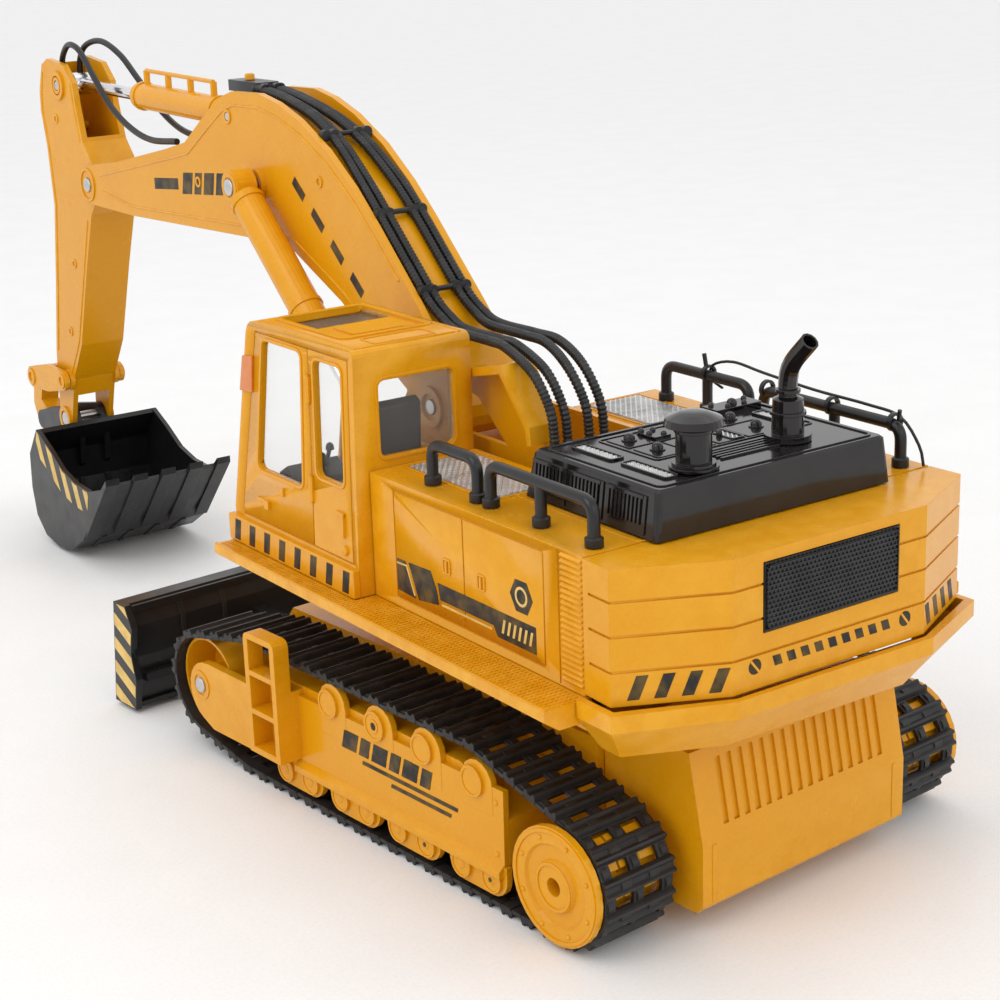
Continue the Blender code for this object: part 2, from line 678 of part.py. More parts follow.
def cab_windows():
    """The openings of the cab as (axis, outline, start, end)."""
    x0, x1 = CAB_X
    front = rounded((-68.0, 131.0, 3.0), (-33.0, 131.0, 3.0), (-31.0, 184.0, 3.0), (-60.0, 184.0, 3.0))
    rear = rounded((-21.0, 138.0, 3.0), (-1.5, 138.0, 3.0), (-1.5, 183.0, 4.0), (-21.0, 183.0, 3.0))
    return (
        ("x", front, x1 - 8.0, x1 + 5.0),
        ("x", rear, x1 - 8.0, x1 + 5.0),
        ("x", frame_box((-66.0, -6.0), (140.0, 183.0), 4.0), x0 - 5.0, x0 + 5.0),
        ("y", frame_box((40.0, 73.0), (149.0, 178.0), 2.5), 2.0, 12.0),
        ("y", frame_box((37.0, 78.0), (120.0, 182.0), 4.0), -100.0, -68.0),
        ("z", frame_box((37.0, 74.0), (-62.0, -14.0), 2.0), 186.0, 196.0),
    )


def cab():
    outer = leaned(prism("x", cab_side(0.0), *CAB_X))
    inner = leaned(prism("x", cab_side(2.2), CAB_X[0] + 2.2, CAB_X[1] - 2.2))
    return carved([outer], [inner, *[prism(*window) for window in cab_windows()]])


def cab_glazing():
    """The clear one-piece insert behind the cab's openings: a thin shell, open at the bottom."""
    outer = leaned(prism("x", cab_side(2.6), CAB_X[0] + 2.6, CAB_X[1] - 2.6))
    inner = leaned(prism("x", cab_side(3.4), CAB_X[0] + 3.4, CAB_X[1] - 3.4))
    return carved([outer], [inner, box((20.0, 100.0), (-120.0, 30.0), (90.0, 114.0))])


def cab_seat():
    seat = [(-44.0, 99.5), (-44.0, 122.0), (-40.0, 127.0), (-18.0, 125.0), (-14.0, 160.0), (-9.0, 166.0)]
    seat += [(-5.0, 164.0), (-8.0, 120.0), (-8.0, 99.5)]
    shapes = [
        prism("x", rounded(*[(a, b, 1.2) for a, b in seat]), 47.0, 68.0),
        box((38.0, 78.0), (-60.0, -10.0), (99.2, 103.0)),
        box((40.0, 45.5), (-46.0, -16.0), (102.0, 128.0)),
        box((69.5, 75.0), (-46.0, -16.0), (102.0, 128.0)),
        cylinder("z", (42.7, -40.0), 1.3, 127.0, 138.0, 8),
        cylinder("z", (72.2, -40.0), 1.3, 127.0, 138.0, 8),
    ]
    return carved(shapes)


def engine_hood():
    foot = frame_box((-53.5, 53.5), (70.4, 143.4), 2.0)
    top = frame_box((-51.5, 51.5), (73.6, 142.4), 2.0)
    lid = frame_box((-50.5, 50.5), (74.6, 141.4), 2.0)
    outer = loft("z", (HOOD_Z[0], foot), (HOOD_Z[1] - 1.0, top), (HOOD_Z[1], lid))
    foot_in = frame_box((-51.5, 51.5), (72.4, 141.4), 1.0)
    top_in = frame_box((-49.5, 49.5), (75.6, 140.4), 1.0)
    return carved([outer], [loft("z", (140.0, foot_in), (HOOD_Z[1] - 2.0, top_in))])


def air_cleaner():
    base = HOOD_Z[1] + GAP
    profile = [(base, 7.6), (base + 2.4, 7.6), (base + 2.4, 6.2), (base + 14.0, 6.2)]
    profile += [(base + 15.0, 10.2), (base + 17.5, 9.6), (base + 19.0, 6.0), (base + 19.4, 1.0)]
    return turned("z", (26.0, 130.0), profile, 28)


def exhaust_pipe():
    base = HOOD_Z[1] + GAP
    stack = [(base, 8.4), (base + 2.2, 8.4), (base + 2.2, 5.8), (base + 14.5, 5.4), (base + 15.5, 3.4)]
    pipe = smooth_route([(-22, 124, 174), (-22, 124, 184), (-22, 126.5, 190.5), (-22, 134.5, 199)], 2.0)
    tip = Matrix.Translation((-0.022, 0.1365, 0.2045)) @ Matrix.Rotation(math.radians(-18), 4, "X")
    cutter = box((-10.0, 10.0), (-12.0, 12.0), (0.0, 12.0))
    cutter.transform(tip @ Matrix.Translation((0, 0, -0.0035)))
    shapes = [turned("z", (-22.0, 124.0), [*stack, (base + 16.0, 3.4)], 24), tube(pipe, 3.4, 12)]
    bore = tube(smooth_route([(-22, 130.5, 194.8), (-22, 140, 204.8)], 3.0), 2.6, 12)
    return carved(shapes, [cutter, bore])


def handrail(side, y0, y1, posts=()):
    """A bent bar along the deck with a collar at each foot."""
    x = 70.0 * side
    top = 160.0
    shapes = [bent_bar([(x, y0, DECK_Z + 0.3), (x, y0, top), (x, y1, top), (x, y1, DECK_Z + 0.3)], 2.2, 6.0, 8)]
    for y in posts:
        shapes.append(cylinder("z", (x, y), 2.1, DECK_Z + 0.3, top, 8))
    for y in (y0, y1, *posts):
        shapes.append(cylinder("z", (x, y), 3.2, DECK_Z + 0.3, DECK_Z + 3.6, 10))
    return carved(shapes)


def speaker():
    profile = [(99.0, 9.0), (104.0, 10.0), (110.0, 18.0), (112.0, 18.0)]
    return turned("z", (-52.0, 25.0), profile, 24)


def circuit_board():
    board = box((-38.0, 30.0), (62.0, 124.0), (104.0, 105.6))
    parts = [
        box((-28.0, -16.0), (70.0, 84.0), (105.2, 108.5)),
        box((4.0, 22.0), (72.0, 80.0), (105.2, 112.0)),
        cylinder("z", (-20.0, 108.0), 5.0, 105.2, 116.0, 14),
    ]
    return carved([board, *parts])


def make_house():
    add("house_base", "house", "yellow", house_base())
    add("house_shell", "house", "yellow", house_shell())
    add("counterweight", "house", "yellow", counterweight())
    add("rear_tray", "house", "yellow", rear_tray())
    add("boom_mount", "house", "yellow", boom_mount())
    add("cab_shell", "house", "yellow", cab())
    add("cab_glazing", "house", "clear", cab_glazing())
    add("cab_seat", "house", "black", cab_seat())
    add("engine_hood", "house", "gloss_black", engine_hood())
    add("air_cleaner", "house", "gloss_black", air_cleaner())
    add("exhaust_pipe", "house", "gloss_black", exhaust_pipe())
    add("handrail_left_front", "house", "black", handrail(1, 37.0, 66.0))
    add("handrail_left_rear", "house", "black", handrail(1, 73.5, 132.0, (103.0,)))
    add("handrail_right_front", "house", "black", handrail(-1, 0.0, 51.0, (26.0,)))
    add("handrail_right_rear", "house", "black", handrail(-1, 59.0, 132.0, (98.0,)))
    add("rear_grille", "house", "black", box((-30.5, 30.5), (168.9, 169.9), (116.6, 140.2)))
    add("deck_pad_left", "house", "steel", box((36.0, 64.0), (12.0, 66.0), (DECK_Z - 0.5, DECK_Z + 0.2)))
    add("deck_pad_right", "house", "steel", box((-66.0, -40.0), (-14.0, 34.0), (DECK_Z - 0.5, DECK_Z + 0.2)))
    add("slew_motor", "house", "steel", cylinder("z", (0.0, PINION_OFFSET), 9.5, 91.4, 122.0, 20))
    add("circuit_board", "house", "green", circuit_board())
    add("speaker", "house", "black", speaker())
    add("boom_pin", "house", "steel", cylinder("x", BOOM_PIN, 2.9, -23.6, 23.6, 14))
    add("ram_foot_pin", "house", "steel", cylinder("x", LOW_PIN, 2.1, -30.0, 30.0, 12))
    add("slew_pinion", "slew_pinion", "steel", slew_pinion())
    wire = [
        (-74.5, 139.0, 145.6),
        (-74.0, 137.0, 153.0),
        (-73.5, 128.0, 162.0),
        (-73.2, 112.0, 163.6),
        (-73.2, 84.0, 164.0),
        (-73.4, 56.0, 165.5),
        (-73.0, 38.0, 167.0),
        (-72.0, 27.0, 164.0),
        (-73.2, 24.0, 158.0),
        (-73.6, 31.0, 155.0),
    ]
    add_hose("aerial_wire", "house", "black", wire, 0.6, 3.0)


# ---------------------------------------------------------------- boom, stick and bucket


def boom_side():
    foot = arc(BOOM_PIN, 14.0, 225, 405, 9)
    nose = arc(STICK_PIN, 10.0, 95, 265, 8)
    back = [(-38.0, 174.0), (-52.0, 188.0), (-68.0, 203.0), (-84.0, 218.0), (-100.0, 232.0), (-120.0, 246.0)]
    bracket = [(-142.0, 257.0), (-160.0, 263.0), (-176.0, 266.0), (-201.0, 265.5), (-213.0, 262.0), (-226.0, 255.0)]
    top = [(-252.0, 238.5), (-274.0, 233.5), (-330.0, 222.5)]
    under = [(-317.0, 196.5), (-183.0, 200.5), (-152.0, 199.0), (-113.0, 182.0), (-72.0, 157.0)]
    return [*foot, *back, *bracket, *top, *nose, *under]


def boom_shell():
    body = prism("x", boom_side(), -BOOM_HALF, BOOM_HALF)
    fork = [(-400.0, 180.0), (-400.0, 240.0), (-350.0, 240.0), *arc(STICK_PIN, 25.0, 60, -60, 6), (-350.0, 180.0)]
    channel = [(-205.0, 280.0), (-205.0, 261.0), (-176.0, 259.0), (-152.0, 254.6), (-137.0, 250.0), (-119.0, 241.0)]
    channel += [(-98.0, 227.0), (-82.0, 213.2), (-66.0, 198.2), (-52.0, 184.6), (-40.0, 174.4), (-20.0, 176.0)]
    channel += [(-20.0, 240.0), (-90.0, 280.0)]
    tunnel = [(-245.0, 232.0), (-300.0, 220.0), (-348.0, 212.0), (-348.0, 203.0), (-215.0, 206.0), (-150.0, 205.0)]
    tunnel += [(-110.0, 189.0), (-74.0, 166.0), (-62.0, 172.0), (-76.0, 196.0), (-104.0, 222.0), (-140.0, 244.0)]
    tunnel += [(-170.0, 254.0), (-190.0, 256.0), (-200.0, 244.0), (-225.0, 240.0)]
    ram_room = [(-262.0, 234.0), (-228.0, 238.5), (-200.0, 242.0), (-200.0, 275.0), (-270.0, 275.0)]
    shapes = [body]
    for side in (-1, 1):
        shapes.append(cylinder("x", HIGH_PIN, 7.0, side * 15.0, side * 18.0, 20))
    cuts = [
        prism("x", fork, -12.9, 12.9),
        prism("x", channel, -12.6, 12.6),
        prism("x", tunnel, -12.4, 12.4),
        prism("x", ram_room, -10.5, 10.5),
        cylinder("x", BOOM_PIN, 3.3, -20.0, 20.0, 14),
        cylinder("x", STICK_PIN, 3.2, -20.0, 20.0, 14),
        cylinder("x", HIGH_PIN, 3.2, -20.0, 20.0, 14),
    ]
    return carved(shapes, cuts)


def hose_run(x, free_x, arc_y):
    """One of the boom's four hoses: along the channel of its back, then a free arc down to the deck."""
    ridge = [(-198.0, 266.2), (-176.0, 263.6), (-152.0, 258.6), (-136.0, 253.4), (-120.0, 245.6), (-100.0, 231.6)]
    ridge += [(-84.0, 217.8), (-68.0, 203.0), (-54.0, 190.6), (-44.0, 184.6)]
    free = [(-28.0, 182.4), (0.0, 183.4), (arc_y, 184.0), (38.0, 178.6), (48.0, 167.0), (50.5, 156.0), (50.5, 145.3)]
    route = [(x * min(1.0, 0.45 + 0.02 * i * i), *p) for i, p in enumerate(ridge)]
    for i, point in enumerate(free):
        share = min(1.0, (i + 1) / 4)
        route.append((x + (free_x - x) * share, *point))
    return smooth_route(route, 9.0)


def boom_hoses():
    """The moulded rubber harness: four hoses, the cross ties between them and the block at its head."""
    shapes = [box((-5.6, 5.6), (-224.0, -194.0), (263.6, 269.0))]
    for x, free_x, arc_y in ((10.2, 25.0, 16.0), (6.0, 19.0, 16.0), (-6.0, 9.0, 20.0), (-10.2, 2.0, 20.0)):
        shapes.append(tube(hose_run(x, free_x, arc_y), 1.9, 6))
    for y, z in ((-129.0, 250.4), (-88.0, 221.3), (-57.0, 193.2), (-36.0, 183.2)):
        shapes.append(box((-11.0, 11.0), (y - 2.0, y + 2.0), (z - 1.2, z + 1.2)))
    return carved(shapes)


def ram_eye(pin, radius, x0, x1):
    return cylinder("x", pin, radius, x0, x1, 20)


def ram_barrel(start, end, length, radius, x):
    """A barrel along the line between two pins, with an eye round the first."""
    barrel = turned("z", (0.0, 0.0), [(6.0, radius - 1.0), (7.5, radius), (length - 2.0, radius), (length, radius - 1.5)])
    line = Vector(end) - Vector(start)
    tilt = Matrix.Rotation(math.atan2(line.x, line.y), 4, Vector((-1, 0, 0)))
    barrel.transform(Matrix.Translation(Vector((x, start[0], start[1])) * MM) @ tilt)
    return barrel


def ram_bore(start, end, length, radius, x):
    bore = cylinder("z", (0.0, 0.0), radius, 20.0, length + 5.0, 16)
    line = Vector(end) - Vector(start)
    tilt = Matrix.Rotation(math.atan2(line.x, line.y), 4, Vector((-1, 0, 0)))
    bore.transform(Matrix.Translation(Vector((x, start[0], start[1])) * MM) @ tilt)
    return bore


def ram_rod(start, end, first, last, radius, x):
    """A rod along the line between two pins, from one distance to another measured from the start."""
    a = directed(start, end, first, 0.0)
    b = directed(start, end, last, 0.0)
    return tube([(x, *a), (x, *b)], radius, 14)


def boom_barrel():
    shapes = [ram_barrel(HIGH_PIN, LOW_PIN, 86.0, 7.4, RAM_X), ram_eye(HIGH_PIN, 7.6, 21.0, 31.0)]
    cuts = [ram_bore(HIGH_PIN, LOW_PIN, 86.0, 3.6, RAM_X), cylinder("x", HIGH_PIN, 3.2, 10.0, 40.0, 14)]
    return carved(shapes, cuts)


def boom_rod():
    shapes = [ram_rod(HIGH_PIN, LOW_PIN, 50.0, 138.0, 3.1, RAM_X), ram_eye(LOW_PIN, 7.2, 23.4, 28.6)]
    return carved(shapes, [cylinder("x", LOW_PIN, 5.0, 10.0, 40.0, 16)])


def stick_barrel():
    shapes = [
        ram_barrel(CYL_REAR, CYL_FRONT, 119.0, 6.6, 0.0),
        ram_eye(CYL_REAR, 7.0, -7.0, 7.0),
    ]
    tops = []
    for along in (37.0, 61.0, 85.0, 109.0):
        foot = directed(CYL_REAR, CYL_FRONT, along, -5.0)
        top = directed(CYL_REAR, CYL_FRONT, along, -13.0)
        tops.append((0.0, *top))
        shapes.append(tube([(0.0, *foot), (0.0, *top)], 1.7, 8))
    shapes.append(tube([tops[0], tops[-1]], 1.1, 8))
    return carved(shapes, [ram_bore(CYL_REAR, CYL_FRONT, 119.0, 3.7, 0.0)])


def stick_rod():
    shapes = [ram_rod(CYL_REAR, CYL_FRONT, 74.0, 187.0, 3.2, 0.0), ram_eye(CYL_FRONT, 6.0, -4.5, 4.5)]
    return carved(shapes, [cylinder("x", CYL_FRONT, 2.6, -10.0, 10.0, 14)])


def stick():
    side = [(-416.0, 269.5), (-424.0, 266.0), (-430.0, 252.0), (-431.0, 241.0), (-427.0, 222.0), (-425.0, 190.0)]
    side += [(-434.0, 145.0), (-443.0, 104.0)]
    side += arc(BUCKET_PIN, 8.0, 175, 350, 8)
    side += [(-421.0, 92.0), (-406.0, 114.0), (-389.0, 159.0), (-376.0, 190.0)]
    side += arc(STICK_PIN, 8.6, -80, 80, 6)
    side += [(-379.0, 228.0), (-384.0, 246.0), (-386.0, 258.0), (-396.0, 267.0)]
    body = prism("x", side, -STICK_HALF, STICK_HALF)
    fork = [(-421.0, 280.0), (-425.0, 252.0), (-423.0, 226.0), (-395.0, 224.0), (-370.0, 234.0), (-370.0, 280.0)]
    pocket = [(-420.0, 232.0), (-421.5, 190.0), (-431.0, 145.0), (-436.0, 116.0), (-411.0, 116.0), (-394.0, 159.0)]
    pocket += [(-384.0, 200.0), (-388.0, 232.0)]
    toe = [(-460.0, 50.0), (-460.0, 80.0), (-443.0, 88.0), (-432.0, 88.0), (-420.0, 78.0), (-410.0, 50.0)]
    shapes = [body]
    for x in (-14.8, 12.0):
        shapes.append(cylinder("x", ROCKER_PIN, 6.0, x, x + 2.8, 18))
    cuts = [
        prism("x", fork, -9.3, 9.3),
        prism("x", pocket, -9.3, 9.3),
        prism("x", toe, -9.6, 9.6),
        cylinder("x", STICK_PIN, 3.2, -20.0, 20.0, 14),
        cylinder("x", CYL_FRONT, 2.6, -20.0, 20.0, 14),
        cylinder("x", ROCKER_PIN, 2.6, -20.0, 20.0, 14),
    ]
    return carved(shapes, cuts)


def bucket():
    wall = [(-424.0, 66.5), (-437.0, 50.0), (-438.5, 30.0), (-435.0, 14.0), (-424.0, 4.5), (-406.0, 1.5)]
    wall += [(-388.0, 4.5), (-372.0, 14.0), (-356.0, 30.0), (-337.0, 51.0)]
    inner = [(-339.0, 52.5), (-358.0, 34.0), (-374.0, 17.5), (-389.0, 8.0), (-406.0, 5.0), (-422.0, 7.5)]
    inner += [(-431.5, 16.0), (-435.0, 30.5), (-434.0, 49.0), (-422.0, 64.5)]
    cheek = [*wall, (-358.0, 45.0), (-376.0, 46.0), (-392.0, 50.0), (-408.0, 59.0)]
    shapes = [prism("x", [*wall, *inner], -36.0, 36.0)]
    for side in (-1, 1):
        x = sorted((side * BUCKET_HALF, side * (BUCKET_HALF - 2.6)))
        shapes.append(prism("x", cheek, *x))
        ear = [(-431.0, 40.0), (-428.0, 60.0), *arc(BUCKET_PIN, 6.2, 20, 110, 4), (-470.0, 66.0)]
        ear += [*arc(BUCKET_EAR, 5.6, 80, 280, 6), (-462.0, 47.0), (-437.0, 36.0)]
        x = sorted((side * 6.0, side * 9.2))
        shapes.append(prism("x", ear, *x))
    for tooth in range(5):
        x = -33.0 + tooth * 16.5
        tip = [(-368.0, 15.5), (-334.0, 53.0), (-334.0, 56.5), (-358.0, 34.5)]
        shapes.append(prism("x", tip, x - 4.0, x + 4.0))
    return carved(shapes, [cylinder("x", BUCKET_PIN, 2.9, -12.0, 12.0, 14)])


def bucket_link():
    """The curved link from the rocker to the bucket's ears."""
    outer = [*arc(LINK_PIN, 5.4, 60, 150, 4), (-486.0, 86.0), (-500.0, 76.0), (-503.0, 62.0), (-497.0, 50.0)]
    outer += [*arc(BUCKET_EAR, 5.4, 240, 330, 4), (-484.0, 62.0), (-491.0, 66.0), (-488.0, 74.0), (-470.0, 79.0)]
    link = prism("x", outer, -5.4, 5.4)
    cuts = [cylinder("x", LINK_PIN, 2.4, -9.0, 9.0, 14), cylinder("x", BUCKET_EAR, 3.8, -9.0, 9.0, 14)]
    return carved([link], cuts)


def rocker():
    """Two outer plates joined by the link's pin, and carried on a pin through the stick."""
    plate = [*arc(ROCKER_PIN, 5.6, -90, 80, 6), (-448.0, 97.0), *arc(LINK_PIN, 6.2, 90, 270, 6), (-448.0, 81.0)]
    shapes = [cylinder("x", LINK_PIN, 2.0, -17.0, 17.0, 12), cylinder("x", ROCKER_PIN, 2.2, -17.0, 17.0, 12)]
    for x in (-18.0, 15.2):
        shapes.append(prism("x", plate, x, x + 2.8))
    return carved(shapes)


def make_attachment():
    add("boom_shell", "boom", "yellow", boom_shell())
    add("boom_hoses", "boom", "rubber", boom_hoses())
    add("stick_pin", "boom", "steel", cylinder("x", STICK_PIN, 2.9, -17.4, 17.4, 14))
    add("ram_head_pin", "boom", "steel", cylinder("x", HIGH_PIN, 2.9, -32.0, 32.0, 14))
    add("boom_barrel_left", "boom_barrels", "yellow", boom_barrel())
    add("boom_barrel_right", "boom_barrels", "yellow", flipped(boom_barrel()))
    add("boom_rod_left", "boom_rods", "steel", boom_rod())
    add("boom_rod_right", "boom_rods", "steel", flipped(boom_rod()))
    add("stick_arm", "stick", "yellow", stick())
    add("bucket_pin", "stick", "steel", cylinder("x", BUCKET_PIN, 2.5, -9.2, 9.2, 14))
    add("stick_rod", "stick_rod", "steel", stick_rod())
    add("stick_barrel", "stick_barrel", "yellow", stick_barrel())
    add("bucket", "bucket", "black", bucket())
    add("bucket_link", "bucket_link", "yellow", bucket_link())
    add("rocker", "rocker", "yellow", rocker())
    hose_a = [(6.6, -411, 261), (6.8, -408, 270), (7, -400, 276.5), (8, -389, 277), (8, -380, 273), (8, -366, 261)]
    hose_a += [(8, -349, 248), (8, -328, 239), (8, -305, 234.8), (8, -276, 236.2)]
    hose_b = [(-6.6, -418, 257), (-6.6, -417, 268), (-6.6, -410, 275.5), (-6.6, -393, 278), (-7, -372, 272)]
    hose_b += [(-8, -353, 261), (-8, -330, 247), (-8, -308, 238.8), (-6, -280, 236.0)]
    add_hose("stick_hose_left", "boom", "rubber", hose_a, 1.6, 6.0)
    add_hose("stick_hose_right", "boom", "rubber", hose_b, 1.6, 6.0)


def main():
    for obj in list(bpy.data.objects):
        bpy.data.objects.remove(obj)
    make_finishes()
    make_body("chassis", None)
    for side, sign in (("left", 1), ("right", -1)):
        make_body(f"sprocket_{side}", "chassis", (0.0, AXLE_Y, AXLE_Z))
        make_body(f"idler_{side}", "chassis", (0.0, *IDLER))
    make_body("power_switch", "chassis", (0.0, 57.0, 14.0))
    make_body("blade", "chassis", (0.0, -113.0, 27.0))
    make_body("house", "chassis")
    make_body("slew_pinion", "house", (0.0, PINION_OFFSET, GEAR_Z[0]))
    make_body("boom", "house", at_pin(BOOM_PIN))
    make_body("boom_barrels", "boom", at_pin(HIGH_PIN))
    make_body("boom_rods", "boom_barrels", at_pin(LOW_PIN))
    make_body("stick", "boom", at_pin(STICK_PIN))
    make_body("stick_rod", "stick", at_pin(CYL_FRONT))
    make_body("stick_barrel", "stick_rod", at_pin(CYL_REAR))
    make_body("bucket", "stick", at_pin(BUCKET_PIN))
    make_body("rocker", "stick", at_pin(ROCKER_PIN))
    make_body("bucket_link", "rocker", at_pin(LINK_PIN))
    make_chassis()
    make_tracks()
    make_house()
    make_attachment()


main()
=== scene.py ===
"""Looks of the toy excavator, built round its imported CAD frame.

Lengths are in millimetres in one of two spaces: HOUSE turns with the upper house, CHASSIS stays with the
tracks. Both have their origin on the slewing axis at ground height.
"""

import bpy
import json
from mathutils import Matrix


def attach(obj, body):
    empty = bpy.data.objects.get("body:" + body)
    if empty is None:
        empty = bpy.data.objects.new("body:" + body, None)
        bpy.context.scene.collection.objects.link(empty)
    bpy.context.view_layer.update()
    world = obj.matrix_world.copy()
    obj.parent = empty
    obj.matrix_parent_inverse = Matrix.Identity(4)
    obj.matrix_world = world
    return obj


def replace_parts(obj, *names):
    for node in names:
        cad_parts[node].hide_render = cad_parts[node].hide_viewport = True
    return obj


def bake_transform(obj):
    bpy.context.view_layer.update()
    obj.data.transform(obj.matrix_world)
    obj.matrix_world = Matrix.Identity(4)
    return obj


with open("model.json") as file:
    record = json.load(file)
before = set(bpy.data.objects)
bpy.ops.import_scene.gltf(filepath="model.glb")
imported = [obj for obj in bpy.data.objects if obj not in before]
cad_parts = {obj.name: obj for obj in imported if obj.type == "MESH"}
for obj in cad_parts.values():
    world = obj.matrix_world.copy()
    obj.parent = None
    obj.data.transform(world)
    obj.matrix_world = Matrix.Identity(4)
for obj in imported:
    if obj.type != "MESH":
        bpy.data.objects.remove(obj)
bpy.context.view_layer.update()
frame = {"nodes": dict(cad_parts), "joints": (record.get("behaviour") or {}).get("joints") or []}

import json
from math import atan2, cos, pi, radians, sin, tan

import bmesh
import bpy
from mathutils import Matrix, Vector

MM = 0.001
ROOT = 0.3  # how deep raised trim starts inside its surface
NODES = frame["nodes"]
JOINTS = {joint["name"]: joint for joint in frame["joints"]}

# ---------------------------------------------------------------- spaces

slew_axis = Vector(JOINTS["house_slew"]["pos_m"])
lift_axis = JOINTS["boom_lift"]["axis"]
CHASSIS = Matrix.Translation((slew_axis.x, slew_axis.y, 0))
HOUSE = CHASSIS @ Matrix.Rotation(atan2(-lift_axis[1], -lift_axis[0]), 4, "Z")


class Box:
    """A CAD node's extent in a space, in millimetres."""

    def __init__(self, node, space):
        inverse = space.inverted()
        points = [inverse @ vertex.co for vertex in NODES[node].data.vertices]
        self.x0, self.y0, self.z0 = (min(p[i] for p in points) / MM for i in range(3))
        self.x1, self.y1, self.z1 = (max(p[i] for p in points) / MM for i in range(3))


def pin_of(joint, space=HOUSE):
    """A joint's place across the machine, as (y, z) in a space."""
    point = space.inverted() @ Vector(JOINTS[joint]["pos_m"])
    return point.y / MM, point.z / MM


# ---------------------------------------------------------------- shapes: (points, faces) in millimetres


def placed(axis, along, a, b):
    return {"x": (along, a, b), "y": (a, along, b), "z": (a, b, along)}[axis]


def loft(axis, *levels):
    """A closed solid through outlines of equal length, each given as (place along the axis, outline)."""
    count = len(levels[0][1])
    points = [placed(axis, along, a, b) for along, outline in levels for a, b in outline]
    faces = [tuple(range(count)), tuple(range(len(points) - count, len(points)))]
    for ring in range(len(levels) - 1):
        low = ring * count
        for i in range(count):
            j = (i + 1) % count
            faces.append((low + i, low + j, low + count + j, low + count + i))
    return points, faces


def prism(axis, outline, start, end):
    return loft(axis, (start, outline), (end, outline))


def rect(a, b):
    return [(a[0], b[0]), (a[1], b[0]), (a[1], b[1]), (a[0], b[1])]


def slab(x, y, z):
    return prism("z", rect(x, y), *z)


def band(axis, outer, inner, start, end):
    """A prism with a hole: both outlines have the same number of points."""
    count = len(outer)
    points = [placed(axis, along, a, b) for along in (start, end) for a, b in (*outer, *inner)]
    faces = []
    for i in range(count):
        j = (i + 1) % count
        top = 2 * count
        faces += [
            (i, j, count + j, count + i),
            (top + i, top + j, top + count + j, top + count + i),
            (i, j, top + j, top + i),
            (count + i, count + j, top + count + j, top + count + i),
        ]
    return points, faces


def circle(centre, radius, steps=24, start=0):
    turns = [start + 2 * pi * i / steps for i in range(steps)]
    return [(centre[0] + radius * cos(t), centre[1] + radius * sin(t)) for t in turns]


def turned(axis, centre, profile, steps=24):
    """A solid of revolution through (place along the axis, radius)."""
    return loft(axis, *[(along, circle(centre, radius, steps)) for along, radius in profile])


def disc(axis, centre, radius, start, end, steps=24):
    return turned(axis, centre, [(start, radius), (end, radius)], steps)


def ring(axis, centre, outer, inner, start, end, steps=32):
    return band(axis, circle(centre, outer, steps), circle(centre, inner, steps), start, end)


def dome(axis, centre, radius, base, height, steps=16):
    """A round button that stands a height over its base; a negative height faces the other way."""
    share = ((0, 1), (0.45, 0.95), (0.8, 0.72), (0.97, 0.34), (1, 0.06))
    return turned(axis, centre, [(base + height * up, radius * wide) for up, wide in share], steps)


def rounded(x, y, radius, steps=4):
    """A rounded rectangle outline."""
    corners = ((x[1], y[1], 0), (x[0], y[1], 90), (x[0], y[0], 180), (x[1], y[0], 270))
    points = []
    for a, b, start in corners:
        centre = (a - radius if start in (0, 270) else a + radius, b - radius if start in (0, 90) else b + radius)
        for i in range(steps + 1):
            t = radians(start + 90 * i / steps)
            points.append((centre[0] + radius * cos(t), centre[1] + radius * sin(t)))
    return points


def area(outline):
    return sum(a[0] * b[1] - b[0] * a[1] for a, b in zip(outline, (*outline[1:], outline[0]))) / 2


def grown(outline, distance):
    """The outline moved outwards by a distance."""
    sign = 1 if area(outline) > 0 else -1
    moved = []
    for i, here in enumerate(outline):
        before, after = Vector(outline[i - 1]), Vector(outline[(i + 1) % len(outline)])
        a, b = (Vector(here) - before).normalized(), (after - Vector(here)).normalized()
        normal = Vector((a.y + b.y, -a.x - b.x)).normalized() * sign
        stretch = max(0.4, abs(normal.dot(Vector((a.y, -a.x)))))
        moved.append(tuple(Vector(here) + normal * distance / stretch))
    return moved


def rim(axis, outline, width, start, end):
    return band(axis, grown(outline, width), outline, start, end)


def clipped(outline, normal, limit):
    """The part of the outline where its dot product with the normal is under the limit."""
    kept = []
    for a, b in zip(outline, (*outline[1:], outline[0])):
        over_a = a[0] * normal[0] + a[1] * normal[1] - limit
        over_b = b[0] * normal[0] + b[1] * normal[1] - limit
        if over_a <= 0:
            kept.append(a)
        if over_a * over_b < 0:
            share = over_a / (over_a - over_b)
            kept.append((a[0] + (b[0] - a[0]) * share, a[1] + (b[1] - a[1]) * share))
    return kept


def stripes(outline, angle, pitch, width, phase=0):
    """Slanted stripes over an outline, each clipped to it."""
    normal = (cos(radians(angle)), sin(radians(angle)))
    along = [a * normal[0] + b * normal[1] for a, b in outline]
    found = []
    start = min(along) + phase
    while start < max(along):
        piece_of = clipped(clipped(outline, normal, start + width), (-normal[0], -normal[1]), -start)
        if len(piece_of) > 2 and abs(area(piece_of)) > 0.05:
            found.append(piece_of)
        start += pitch
    return found


def slanted(a, b, width, height, lean):
    """A bar standing on (a, b) whose top leans along the first axis."""
    return [(a, b), (a + width, b), (a + width + lean, b + height), (a + lean, b + height)]


